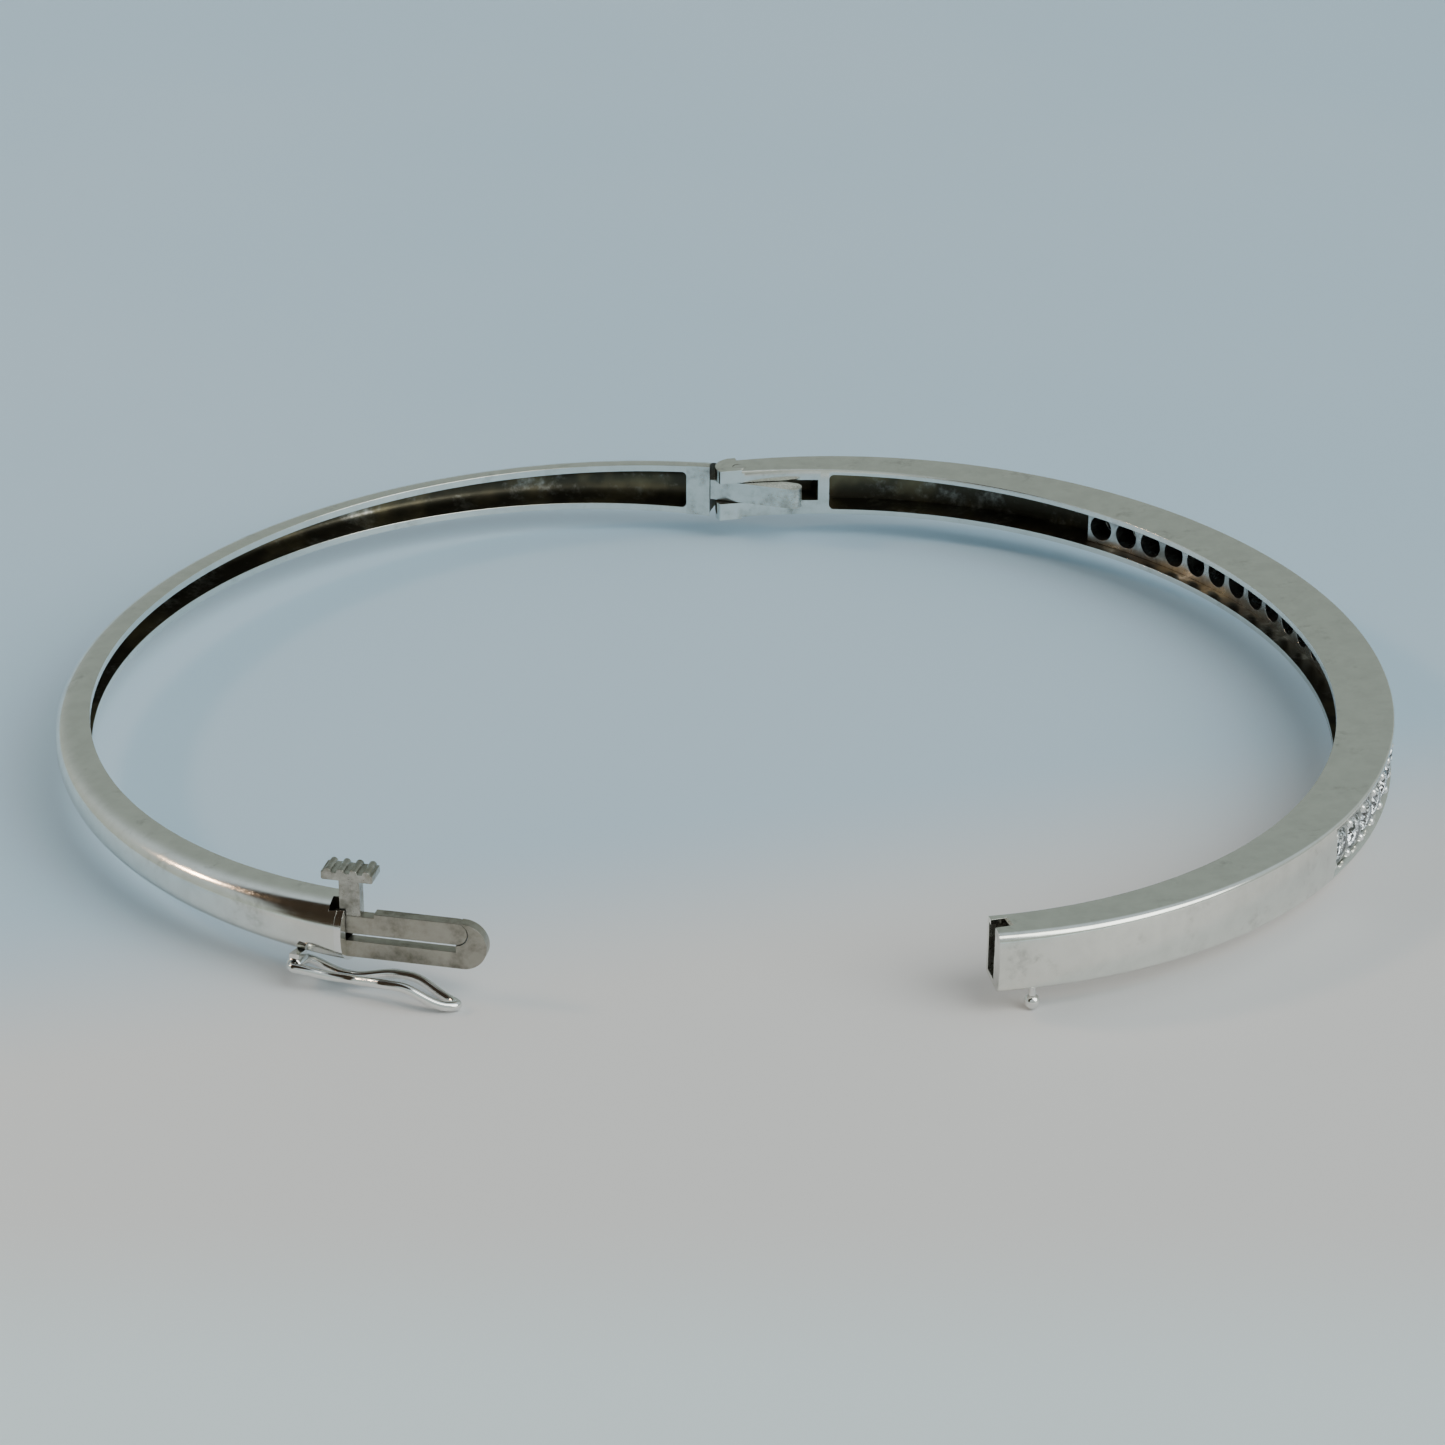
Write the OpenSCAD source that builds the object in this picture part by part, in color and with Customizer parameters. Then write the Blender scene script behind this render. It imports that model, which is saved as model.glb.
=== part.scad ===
// Hinged bangle bracelet with one row of round stones, drawn open.
// The hinge pin stands on the origin, Z = 0 is the underside of the band, and the clasp is
// towards -Y. The two halves are drawn closed and then turned apart about the pin.

/* [Oval] */
// Half of the inner length of the closed band, from hinge to clasp
oval_a = 29; // [27:0.5:31]
// Half of the inner width of the closed band
oval_b = 25.75; // [24:0.25:28]
// Turn of the stone-set half away from closed, in degrees
box_turn = 12; // [0:0.5:15]
// Turn of the plain half away from closed, in degrees
tongue_turn = 17.5; // [0:0.5:20]
// How far the stone-set half runs past the end of the oval
box_past = 0.3; // [0:0.05:0.5]
// How far the plain half stops short of the end of the oval
tongue_short = 1.06; // [0.8:0.02:1.2]

/* [Box half] */
// Height of the stone-set half
box_h = 3.2; // [3:0.1:3.6]
// Radial thickness at the hinge
box_t_hinge = 2.05; // [2:0.05:2.2]
// Radial thickness at the clasp
box_t_clasp = 2.35; // [2.3:0.05:2.6]
// Extra thickness half way round, over the stones
box_t_swell = 0.9; // [0.7:0.05:1.2]
// Thickness of the outer wall
wall = 0.5; // [0.4:0.05:0.6]
// Radius on the outer edges
edge_r = 0.15; // [0.1:0.01:0.16]
// Crown of the outer face
crown = 0.1; // [0:0.02:0.16]

/* [Tongue half] */
// Height at the hinge
tongue_h_hinge = 3.3; // [3.1:0.1:3.4]
// Height at the clasp
tongue_h_clasp = 3.4; // [3.3:0.1:3.6]
// How much lower the half is at its middle
tongue_h_dip = 1.4; // [0.8:0.1:1.5]
// Radial thickness at its ends
tongue_t = 2.05; // [2:0.05:2.2]
// Wall thickness
tongue_wall = 0.42; // [0.3:0.02:0.45]

/* [Setting] */
// Number of stones in the row
stone_count = 25; // [20:1:26]
// Share of the half that the stones cover
setting_share = 0.504; // [0.45:0.002:0.52]
// How far the row's middle lies past the middle of the half, as a share of the half
setting_shift = 0.013; // [-0.02:0.001:0.02]
// Depth of the stone plate below the outer face
plate_sunk = 0.2; // [0.2:0.05:0.4]
// Thickness of the stone plate
plate_t = 1; // [0.9:0.05:1.1]
// Gap between neighbouring stones
stone_gap = 0.16; // [0.1:0.02:0.3]
// Radius of the raised bead at each corner of a stone
bead_r = 0.24; // [0.16:0.02:0.26]

/* [Hinge] */
// Radius of the hinge pin
pin_r = 0.38; // [0.3:0.02:0.4]
// Distance from the band's inner face to the pin's axis
pin_inset = 0.65; // [0.6:0.05:0.7]
// Height of the middle knuckle
knuckle_h = 1.25; // [1:0.05:1.3]
// Reach of the knuckle's arm past the pin
arm_reach = 4; // [3.5:0.1:4.2]
// Running clearance round the pin
run_gap = 0.04; // [0.02:0.01:0.06]

/* [Clasp] */
// Reach of the snap tongue past the seam
snap_reach = 6.95; // [6.6:0.05:7]
// Height of the snap tongue
snap_h = 2.45; // [2.4:0.05:2.6]
// Thickness of the snap tongue
snap_t = 0.62; // [0.55:0.01:0.64]
// Turn of the tongue towards the wrist, from square to the plain half's end, in degrees
snap_turn = 5; // [4:0.5:5]
// Clearance round the tongue inside the box
snap_gap = 0.07; // [0.05:0.01:0.08]
// Height of the saw cut between the two leaves
slit_h = 0.4; // [0.36:0.02:0.42]
// Length of the thumb pad
pad_l = 2.6; // [2.2:0.1:2.8]
// Width of the thumb pad
pad_w = 1.25; // [1.1:0.05:1.4]
// Height of the pad's underside over the middle of the band
pad_lift = 3.05; // [2.9:0.05:3.2]

/* [Safety catch] */
// Radius of the catch wire
wire_r = 0.25; // [0.2:0.01:0.26]
// Distance of the catch's pivot from the end of the plain half
catch_inset = 2.6; // [2.5:0.1:2.8]
// Length of the catch from its pivot to the middle of the far bend
catch_l = 8.35; // [8:0.05:8.6]
// Tilt of the catch, outer side up, in degrees
catch_tilt = 10; // [6:1:12]
// Radius of the ball peg
ball_r = 0.4; // [0.34:0.01:0.42]
// Distance of the ball peg from the end of the oval
ball_x = 1.6; // [1.5:0.05:1.7]

/* [Hidden] */
$fn = 48;

SILVER = [0.78, 0.79, 0.76];
DARK_SILVER = [0.6, 0.6, 0.56];
CRYSTAL = [0.9, 0.93, 0.95];

mid = box_h / 2;               // height of the band's middle plane
eps = 0.02;                    // overlap that joins solids of one piece
seam_gap = 0.03;               // between the halves' ends when closed
clasp_y = -2 * oval_a - pin_inset;

// places along a half, from 0 at the hinge to 1 at the clasp
rad_len = 180 / PI;
function share_at(length) = length * rad_len / oval_b / 180;
fork_end = share_at(5.4);
knuckle_end = share_at(3.1);
box_start = 1 - share_at(8);
box_stop = 1 + share_at(box_past);
block_start = 1 - share_at(tongue_short + 1.1);
plate_start = 1 - share_at(tongue_short + 0.38);
plate_stop = 1 - share_at(tongue_short + seam_gap);
setting_start = (1 - setting_share) / 2 + setting_shift;
setting_end = (1 + setting_share) / 2 + setting_shift;

// sizes of the box half's section
rim_z = 1.38;                  // half height of the opening that frames the stones
trough_z = 1.08;               // half height of the trough at the outer wall
lip_w = 0.34;                  // width of the trough's inner edges
plate_z = 1;                   // half height of the stone plate

// hinge
ear_r = 1.45;
socket_r = 1.8;
arm_inner = 0.61;              // the arm's face towards the wrist
arm_outer = 0.5;
slot_gap = 0.04;
slot_len = arm_reach + 0.7;
slot_open = 1.2;               // up to here the slot cuts the outer face too
knuckle_z = mid - 0.5;

// clasp: lengths along the tongue start at the plain half's end, heights at the middle plane
snap_root = [-tongue_short - seam_gap, clasp_y - 0.99];
snap_tip_r = 58.93;            // inner side of the room that the tongue sweeps in the box
close_more = asin((tongue_short - box_past) / -clasp_y);
tongue_low = -snap_h / 2;
leaf_low = 0.05;
leaf_top = snap_h / 2;
leaf_notch = 0.2;
leaf_notch_end = 1.3;
leaf_r = (leaf_top - leaf_low) / 2;
leaf_pivot = [5.4, (leaf_top + leaf_low) / 2];
leaf_root = -0.8;
root_depth = 0.1;              // how deep the fixed leaf is let into the end plate
stem_x = [-0.4, 0.65];
stem_gap = 0.12;

// safety catch
catch_x = -tongue_short - catch_inset;
catch_y = clasp_y - 1.6;
catch_z = -0.25;
catch_half = 0.8;              // half width at the pivot
waist_u = 2.7;
waist_half = 0.3;
loop_u = 5;
loop_half = 0.84;
tube_r = 0.38;
tube_l = 1.15;
ball_z = -0.95;

function stone_name(i) = str("stone_", i < 10 ? "0" : "", i);
function wave(s) = sin(180 * s);
function steps(a, b, n) = [for (i = [0:n]) a + (b - a) * i / n];

// a point of the closed band: s along the half, q out from the inner face, z up from its middle
function oval_point(s) = let (p = 90 - 180 * s)
    [oval_b * cos(p), oval_a * sin(p) - oval_a - pin_inset];
function outward(s) = let (p = 90 - 180 * s, n = [cos(p) / oval_b, sin(p) / oval_a]) n / norm(n);
function plan(s, q) = oval_point(s) + q * outward(s);
function place(s, qz) = let (v = plan(s, qz[0])) [v[0], v[1], mid + qz[1]];

// radial thickness, half height, and the half height at the inner face
function box_t(s) = box_t_hinge + (box_t_clasp - box_t_hinge) * s + box_t_swell * wave(s);
function box_half_h(s) = box_h / 2 - 0.05 * wave(s);
function box_inner_h(s) = box_half_h(s) - 0.07 - 0.22 * wave(s);
function tongue_half_h(s) =
    (tongue_h_hinge + (tongue_h_clasp - tongue_h_hinge) * s - tongue_h_dip * wave(s)) / 2;
function tongue_thick(s) = tongue_t - 0.2 * wave(s);

// outside of the box half: flat sides that lean in, soft edges and a low crown
function box_outline(s) =
    let (t = box_t(s), h = box_half_h(s), g = box_inner_h(s), r = edge_r, k = 0.3 * edge_r)
    [[0, -g], [t - r, -h], [t - k, k - h], [t, r - h], [t + 0.02, -rim_z], [t + crown, 0],
     [t + 0.02, rim_z], [t, h - r], [t - k, h - k], [t - r, h], [0, g]];
function box_trough(s) = let (q = box_t(s) - wall, g = box_inner_h(s) - lip_w,
    side = [for (f = [0, 0.85, 0.92, 0.97, 1]) [f * q, g + f * (trough_z - g)]])
    concat(side, [[q, 0]], [for (i = [4:-1:0]) [side[i][0], -side[i][1]]]);

// outside of the tongue half: a squarish half round, flat towards the wrist
function round_side(t, h, n) = [for (i = [0:n]) let (a = 180 * i / n - 90)
    [t * pow(max(cos(a), 0), 0.77), h * sign(sin(a)) * pow(abs(sin(a)), 0.77)]];
function tongue_outline(s) = round_side(tongue_thick(s), tongue_half_h(s), 10);
function tongue_trough(s) = let (w = tongue_wall, side = round_side(
    tongue_thick(s) - w, tongue_half_h(s) - w, 10)) [for (i = [10:-1:0]) side[i]];

// the sides and ends of a bar that joins rings of m points
function side_faces(n, m) = [for (k = [0:n - 2], j = [0:m - 1])
    [k * m + j, (k + 1) * m + j, (k + 1) * m + (j + 1) % m, k * m + (j + 1) % m]];
function end_faces(n, m) = [[for (j = [0:m - 1]) j], [for (j = [m - 1:-1:0]) (n - 1) * m + j]];
// the ends of a channel, whose outside runs one way and its trough, point for point, back again
function channel_ends(n, m) = [for (j = [0:m / 2 - 2], k = [0, n - 1])
    let (f = [j, j + 1, m - 2 - j, m - 1 - j]) [for (i = [0:3]) k * m + f[k == 0 ? i : 3 - i]]];

module bar(rings) {
    n = len(rings);
    m = len(rings[0]);
    polyhedron([for (r = rings, v = r) v], concat(side_faces(n, m), end_faces(n, m)));
}

module channel(rings) {
    n = len(rings);
    m = len(rings[0]);
    polyhedron([for (r = rings, v = r) v], concat(side_faces(n, m), channel_ends(n, m)));
}

module swept_box(a, b, n) {
    bar([for (s = steps(a, b, n)) [for (v = box_outline(s)) place(s, v)]]);
}

module swept_tongue(a, b, n) {
    bar([for (s = steps(a, b, n)) [for (v = tongue_outline(s)) place(s, v)]]);
}

module box_side() { rotate(box_turn) children(); }
module tongue_side() { rotate(-tongue_turn) children(); }
module tongue_band() { tongue_side() mirror([1, 0, 0]) children(); }

// the tongue's own frame: +X along it from the plain half's end, +Y towards the wrist
module snap_frame() { translate([snap_root[0], snap_root[1], mid]) rotate(snap_turn) children(); }

// ---------------------------------------------------------------- box half

shell_s = concat(
    steps(fork_end, setting_start, 10),
    [for (i = [1:31]) setting_start + (setting_end - setting_start) * i / 32],
    steps(setting_end, box_start, 8));
window_from = 10;
window_to = 42;
shell_m = 22;
rim_low = 4;                   // section points at the rims, and across the trough from them
rim_high = 6;
back_low = shell_m - 1 - rim_low;
back_high = shell_m - 1 - rim_high;

// A channel open to the wrist. Between window_from and window_to its outer wall is left out.
module box_half_shell() {
    n = len(shell_s);
    all_sides = side_faces(n, shell_m);
    left_out = [for (k = [0:n - 2], j = [0:shell_m - 1]) k >= window_from && k < window_to
        && (j >= rim_low && j < rim_high || j >= back_high && j < back_low)];
    window_walls = [for (k = [window_from:window_to - 1],
            e = [[back_high, rim_high], [rim_low, back_low]])
        [k * shell_m + e[0], (k + 1) * shell_m + e[0],
         (k + 1) * shell_m + e[1], k * shell_m + e[1]]];
    window_ends = [for (j = [rim_low:rim_high - 1], k = [window_from, window_to])
        let (f = [j, j + 1, shell_m - 2 - j, shell_m - 1 - j])
        [for (i = [0:3]) k * shell_m + f[k == window_to ? i : 3 - i]]];
    color(SILVER) box_side() polyhedron(
        [for (s = shell_s, v = concat(box_outline(s), box_trough(s))) place(s, v)],
        concat([for (i = [0:len(all_sides) - 1]) if (!left_out[i]) all_sides[i]],
            window_walls, window_ends, channel_ends(n, shell_m)));
}

module pin_hole(r) { translate([0, 0, -1]) cylinder(r = r, h = box_h + 2); }

// The two ears and the block that closes the trough at the hinge
module hinge_fork() {
    outer_y = box_t_hinge - pin_inset;
    slot_z = knuckle_z - slot_gap;
    slot_h = knuckle_h + 2 * slot_gap;
    color(SILVER) box_side() difference() {
        union() {
            swept_box(0, fork_end, 5);
            intersection() {
                cylinder(r = ear_r, h = box_h);
                translate([-2, -pin_inset, 0]) cube([2 + eps, box_t_hinge, box_h]);
            }
        }
        translate([-3, -3, slot_z]) cube([3 + slot_open, 6, slot_h]);
        translate([0, -4, slot_z]) cube([slot_len, 4 + outer_y - 0.78, slot_h]);
        pin_hole(pin_r + 0.01);
    }
}

module hinge_pin() { color(DARK_SILVER) cylinder(r = pin_r, h = box_h); }

// The hollow end that takes the tongue, with a notch in its top for the thumb piece's stem.
// The tongue swings in about the hinge pin, so the room is wider at its mouth.
module snap_box() {
    side = snap_t / 2 + snap_gap;
    color(SILVER) box_side() difference() {
        swept_box(box_start, box_stop, 6);
        difference() {
            rotate(close_more) snap_frame() translate([-1, -side, tongue_low - 0.06])
                cube([snap_reach + 1.3, 3, snap_h + 0.12]);
            cylinder(r = snap_tip_r, h = 3 * box_h, center = true, $fn = 720);
        }
        rotate(close_more) snap_frame() translate([-1, -snap_t / 2 - stem_gap, 0])
            cube([stem_x[1] + 1.25, snap_t + 2 * stem_gap, box_h]);
    }
}

// The ball on a neck that the safety catch snaps over
module ball_peg() {
    color(SILVER) box_side() translate([ball_x, catch_y, 0]) {
        translate([0, 0, ball_z]) sphere(r = ball_r);
        translate([0, 0, ball_z]) cylinder(r = 0.18, h = 0.15 - ball_z);
    }
}

// ---------------------------------------------------------------- stones

plate_s = [for (i = [window_from:window_to]) shell_s[i]];
function plate_q(s) = box_t(s) - plate_sunk;
fine_s = steps(setting_start, setting_end, 240);
function add_up(v) = [for (i = 0, sum = 0; i < len(v); sum = sum + v[i], i = i + 1) sum + v[i]];
fine_steps = [for (i = [0:len(fine_s) - 2])
    norm(plan(fine_s[i + 1], plate_q(fine_s[i + 1])) - plan(fine_s[i], plate_q(fine_s[i])))];
way = concat([0], add_up(fine_steps));
way_table = [for (i = [0:len(way) - 1]) [way[i], fine_s[i]]];
stone_pitch = way[len(way) - 1] / stone_count;
stone_r = (stone_pitch - stone_gap) / 2;
bead_z = 0.84;

// moves its children to the plate's outer face, with +Z pointing out
module on_plate(way_along, sunk = 0) {
    s = lookup(way_along, way_table);
    v = plan(s, plate_q(s) - sunk);
    n = outward(s);
    box_side() translate([v[0], v[1], mid]) rotate([0, 90, atan2(n[1], n[0])]) children();
}

module stone_plate() {
    inner = [for (s = plate_s) plan(s, plate_q(s) - plate_t)];
    outer = [for (i = [len(plate_s) - 1:-1:0]) plan(plate_s[i], plate_q(plate_s[i]))];
    color(DARK_SILVER) difference() {
        box_side() translate([0, 0, mid - plate_z]) linear_extrude(2 * plate_z)
            polygon(concat(inner, outer));
        for (i = [0:stone_count - 1]) on_plate((i + 0.5) * stone_pitch) {
            translate([0, 0, -0.3]) cylinder(r = stone_r + 0.03, h = 1);
            translate([0, 0, -2]) cylinder(r = stone_r - 0.14, h = 3);
        }
    }
}

// Grains raised from the plate, two at each meeting of stones
module setting_beads() {
    color(SILVER) for (i = [0:stone_count], side = [-1, 1])
        on_plate(max(bead_r, min(i * stone_pitch, way[len(way) - 1] - bead_r)))
            translate([side * bead_z, 0, 0]) sphere(r = bead_r, $fn = 16);
}

// A round stone: flat table, crown, thin girdle and pointed pavilion
module stone(i) {
    d = 2 * stone_r;
    color(CRYSTAL) on_plate((i - 0.5) * stone_pitch, 0.1) rotate_extrude($fn = 32) polygon(
        [[0, -0.43 * d], [d / 2, -0.02 * d], [d / 2, 0.01 * d], [0.28 * d, 0.15 * d],
         [0, 0.15 * d]]);
}

// ---------------------------------------------------------------- tongue half

module tongue_half_shell() {
    color(SILVER) tongue_band() channel([for (s = steps(knuckle_end, block_start, 54))
        [for (v = concat(tongue_outline(s), tongue_trough(s))) place(s, v)]]);
}

// Block that ends in a hollow round the fork's ears, with the middle knuckle and its long arm
module hinge_knuckle() {
    arm_w = arm_inner + arm_outer;
    color(SILVER) difference() {
        union() {
            tongue_band() difference() {
                swept_tongue(0, knuckle_end, 4);
                translate([0, 0, -1]) cylinder(r = socket_r, h = box_h + 2);
            }
            tongue_side() translate([0, 0, knuckle_z]) linear_extrude(knuckle_h) {
                intersection() {
                    circle(r = 1.2);
                    translate([-2, -arm_inner]) square([4, 2]);
                }
                translate([-1.95, -arm_inner]) square([1.95, arm_inner + 0.9]);
                translate([0, -arm_inner]) square([arm_reach - arm_w / 2, arm_w]);
                translate([arm_reach - arm_w / 2, (arm_outer - arm_inner) / 2])
                    circle(r = arm_w / 2);
            }
        }
        pin_hole(pin_r + run_gap);
    }
}

// Slot for the moving leaf and the thumb piece's stem, open at the top
module leaf_slot() {
    snap_frame() translate([leaf_root - 0.12, -snap_t / 2 - stem_gap, leaf_low - slit_h])
        cube([2, snap_t + 2 * stem_gap, box_h]);
}

module end_block() {
    color(SILVER) tongue_side() difference() {
        mirror([1, 0, 0]) swept_tongue(block_start, plate_start, 1);
        leaf_slot();
    }
}

module end_plate() {
    color(SILVER) tongue_side() difference() {
        mirror([1, 0, 0]) swept_tongue(plate_start, plate_stop, 1);
        leaf_slot();
    }
}

// flat sheet of the tongue's thickness, from an outline drawn in length and height
module snap_sheet() {
    snap_frame() translate([0, snap_t / 2, 0]) rotate([90, 0, 0]) linear_extrude(snap_t) children();
}

// The fixed leaf and the rounded fold that the spring leaf turns in
module snap_tongue() {
    nose = snap_h / 2;
    color(DARK_SILVER) tongue_side() snap_sheet() difference() {
        union() {
            translate([snap_reach - nose, 0]) circle(r = nose);
            translate([-root_depth, tongue_low]) square([snap_reach - nose + root_depth, snap_h]);
        }
        translate([-1, leaf_low - slit_h]) square([leaf_pivot[0] + 1, 3]);
        translate(leaf_pivot) circle(r = leaf_r + run_gap);
    }
}

// The leaf that the thumb piece presses down, with the step that locks behind the box's edge
module spring_leaf() {
    color(DARK_SILVER) tongue_side() snap_sheet() {
        translate(leaf_pivot) circle(r = leaf_r);
        translate([leaf_notch_end, leaf_low])
            square([leaf_pivot[0] - leaf_notch_end, 2 * leaf_r]);
        translate([leaf_root, leaf_low])
            square([leaf_notch_end - leaf_root + eps, 2 * leaf_r - leaf_notch]);
    }
}

// Stem and ridged pad
module thumb_piece() {
    base_h = 0.42;
    ridge_r = 0.2;
    ridges = 4;
    stem_z = leaf_top - leaf_notch;
    color(SILVER) tongue_side() snap_frame() {
        translate([stem_x[0], -snap_t / 2, stem_z])
            cube([stem_x[1] - stem_x[0], snap_t, pad_lift + eps - stem_z]);
        translate([(stem_x[0] + stem_x[1] - pad_l) / 2, -pad_w / 2, pad_lift]) {
            cube([pad_l, pad_w, base_h]);
            for (i = [0:ridges - 1])
                translate([(i + 0.5) * pad_l / ridges, 0, base_h])
                    rotate([-90, 0, 0]) cylinder(r = ridge_r, h = pad_w, $fn = 24);
        }
    }
}

// ---------------------------------------------------------------- safety catch

// the catch's own frame: +X along it from its pivot, +Y towards the wrist, outer side tilted up
module catch_frame() {
    tongue_side() translate([catch_x, catch_y, catch_z]) rotate([-catch_tilt, 0, 0]) children();
}

// Short tube under the band that the catch turns in, with the saddle that joins it
module safety_tube() {
    color(SILVER) catch_frame() difference() {
        union() {
            rotate([90, 0, 0]) cylinder(r = tube_r, h = tube_l, center = true);
            translate([-0.25, -tube_l / 2, 0]) cube([0.5, tube_l, 0.62]);
        }
        rotate([90, 0, 0]) cylinder(r = wire_r + run_gap, h = tube_l + 1, center = true);
    }
}

// half width and height of the catch's wire, at u from its pivot
function blend(x) = 0.5 - 0.5 * cos(180 * max(0, min(1, x)));
function catch_w(u) = u < waist_u
    ? catch_half + (waist_half - catch_half) * blend(u / waist_u)
    : waist_half + (loop_half - waist_half) * blend((u - waist_u) / (loop_u - waist_u));
function catch_rise(u) = -0.3 * blend(u / 2.4) + 0.22 * blend((u - 2.9) / 2)
    - 0.78 * blend((u - 5.5) / 2.6);
catch_run = steps(0, loop_u, 11);
catch_route = concat(
    [for (u = catch_run) [u, catch_w(u)]],
    [for (a = [12:12:168]) [loop_u + (catch_l - loop_u) * sin(a), loop_half * cos(a)]],
    [for (i = [len(catch_run) - 1:-1:0]) [catch_run[i], -catch_w(catch_run[i])]]);
catch_points = [for (p = catch_route) [p[0], p[1], catch_rise(p[0])]];

// a wire along points that never run straight up
function wire_ring(points, i, r, m) =
    let (last = len(points) - 1, t = points[min(i + 1, last)] - points[max(i - 1, 0)],
        side = cross(t, [0, 0, 1]) / norm(cross(t, [0, 0, 1])),
        up = cross(side, t) / norm(t))
    [for (j = [0:m - 1]) points[i] + r * (cos(360 * j / m) * side - sin(360 * j / m) * up)];

// Figure-eight loop of wire that turns on its straight end and snaps over the ball peg
module safety_catch() {
    color(SILVER) catch_frame() {
        bar([for (i = [0:len(catch_points) - 1]) wire_ring(catch_points, i, wire_r, 10)]);
        rotate([90, 0, 0]) cylinder(r = wire_r, h = 2 * catch_half, center = true);
        for (side = [-1, 1]) translate([0, side * catch_half, 0]) sphere(r = wire_r + 0.01);
    }
}

// ---------------------------------------------------------------- nodes

box_half_shell();
hinge_fork();
hinge_pin();
snap_box();
ball_peg();
stone_plate();
setting_beads();
tongue_half_shell();
hinge_knuckle();
end_block();
end_plate();
snap_tongue();
spring_leaf();
thumb_piece();
safety_tube();
safety_catch();
for (i = [1:stone_count]) stone(i);
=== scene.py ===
"""A hinged bangle bracelet, open, on a pale floor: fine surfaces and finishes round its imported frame."""

import logging
import math
from dataclasses import dataclass, field
from enum import Enum

import bmesh
import bpy
import numpy as np
from mathutils import Matrix
from mathutils.bvhtree import BVHTree


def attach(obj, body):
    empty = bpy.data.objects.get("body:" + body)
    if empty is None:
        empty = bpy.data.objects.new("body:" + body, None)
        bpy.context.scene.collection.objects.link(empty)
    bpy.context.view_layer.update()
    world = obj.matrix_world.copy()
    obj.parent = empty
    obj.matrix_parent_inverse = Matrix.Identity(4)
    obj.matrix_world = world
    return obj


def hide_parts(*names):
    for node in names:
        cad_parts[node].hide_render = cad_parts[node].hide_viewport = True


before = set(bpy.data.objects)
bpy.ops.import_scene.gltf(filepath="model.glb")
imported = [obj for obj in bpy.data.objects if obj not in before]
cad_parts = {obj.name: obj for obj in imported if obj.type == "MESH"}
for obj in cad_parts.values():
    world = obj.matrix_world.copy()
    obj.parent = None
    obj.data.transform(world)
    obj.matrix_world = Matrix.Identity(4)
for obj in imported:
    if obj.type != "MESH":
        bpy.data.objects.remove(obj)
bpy.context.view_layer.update()  # brings the imported pieces' places up to date

LOG = logging.getLogger("bangle")
MM = 0.001
QUARTER = math.pi / 2


class Body(Enum):
    """The parts of the bangle that move on their own."""

    BOX = "box_half"
    TONGUE = "tongue_half"
    LEAF = "thumb_leaf"
    CATCH = "catch"


class Slot(Enum):
    """The material slots of the bangle's record."""

    POLISHED = "polished_metal"
    PIN = "pin_metal"
    WIRE = "wire_metal"
    TONGUE = "tongue_metal"
    SETTING = "setting_metal"
    BEAD = "bead_metal"
    STONE = "clear_stone"


class Cut(Enum):
    """What a second solid does to the first."""

    JOIN = "UNION"
    REMOVE = "DIFFERENCE"


# ---------------------------------------------------------------- placing


def turn_z(degrees: float, first: int = 0) -> np.ndarray:
    """Returns the 4 x 4 matrix of a turn about Z, or about X where the first axis turned is 1."""
    a = math.radians(degrees)
    m = np.eye(4)
    m[first:first + 2, first:first + 2] = [
        [math.cos(a), -math.sin(a)], [math.sin(a), math.cos(a)]]
    return m


def turn_x(degrees: float) -> np.ndarray:
    """Returns the 4 x 4 matrix of a turn about X."""
    return turn_z(degrees, 1)


def shift(x: float, y: float, z: float) -> np.ndarray:
    """Returns the 4 x 4 matrix of a move."""
    m = np.eye(4)
    m[:3, 3] = [x, y, z]
    return m


def stood_up(x: float = 0.0, z: float = 0.0) -> np.ndarray:
    """Returns the 4 x 4 matrix that stands a flat outline's y up along Z, moved by x and z."""
    return np.array([[1, 0, 0, x], [0, 0, -1, 0], [0, 1, 0, z], [0, 0, 0, 1]], float)


MIRROR_X = np.diag([-1.0, 1.0, 1.0, 1.0])
BOX_SIDE = turn_z(12.0)
TONGUE_SIDE = turn_z(-17.5)
TONGUE_BAND = TONGUE_SIDE @ MIRROR_X


# ---------------------------------------------------------------- surfaces


@dataclass
class Surface:
    """Points in millimetres, the faces between them, and how deep in a recess each face lies, which
    darkens the metal as painted shade.
    """

    points: np.ndarray
    faces: list[list[int]]
    recess: np.ndarray | None = None

    def moved(self, matrix: np.ndarray) -> "Surface":
        """Returns the surface with every point p at matrix times p."""
        return Surface(self.points @ matrix[:3, :3].T + matrix[:3, 3], self.faces, self.recess)

    def with_other(self, other: "Surface") -> "Surface":
        """Returns both surfaces as one, with no joining of their points."""
        first = len(self.points)
        return Surface(
            np.vstack([self.points, other.points]),
            self.faces + [[i + first for i in f] for f in other.faces],
        )


def ring_quads(rings: int, around: int) -> np.ndarray:
    """Quads between closed rings of points.

    Quad (k, j) joins points j and j + 1 of ring k to the same points of ring k + 1, and j + 1
    counts round the ring.

    Args:
        rings: number of rings.
        around: number of points in each ring.

    Returns:
        An array of rings - 1 by around by 4 point numbers.
    """
    k, j = np.meshgrid(np.arange(rings - 1), np.arange(around), indexing="ij")
    n = (j + 1) % around
    return np.stack(
        [k * around + j, (k + 1) * around + j, (k + 1) * around + n, k * around + n], -1
    )


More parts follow.
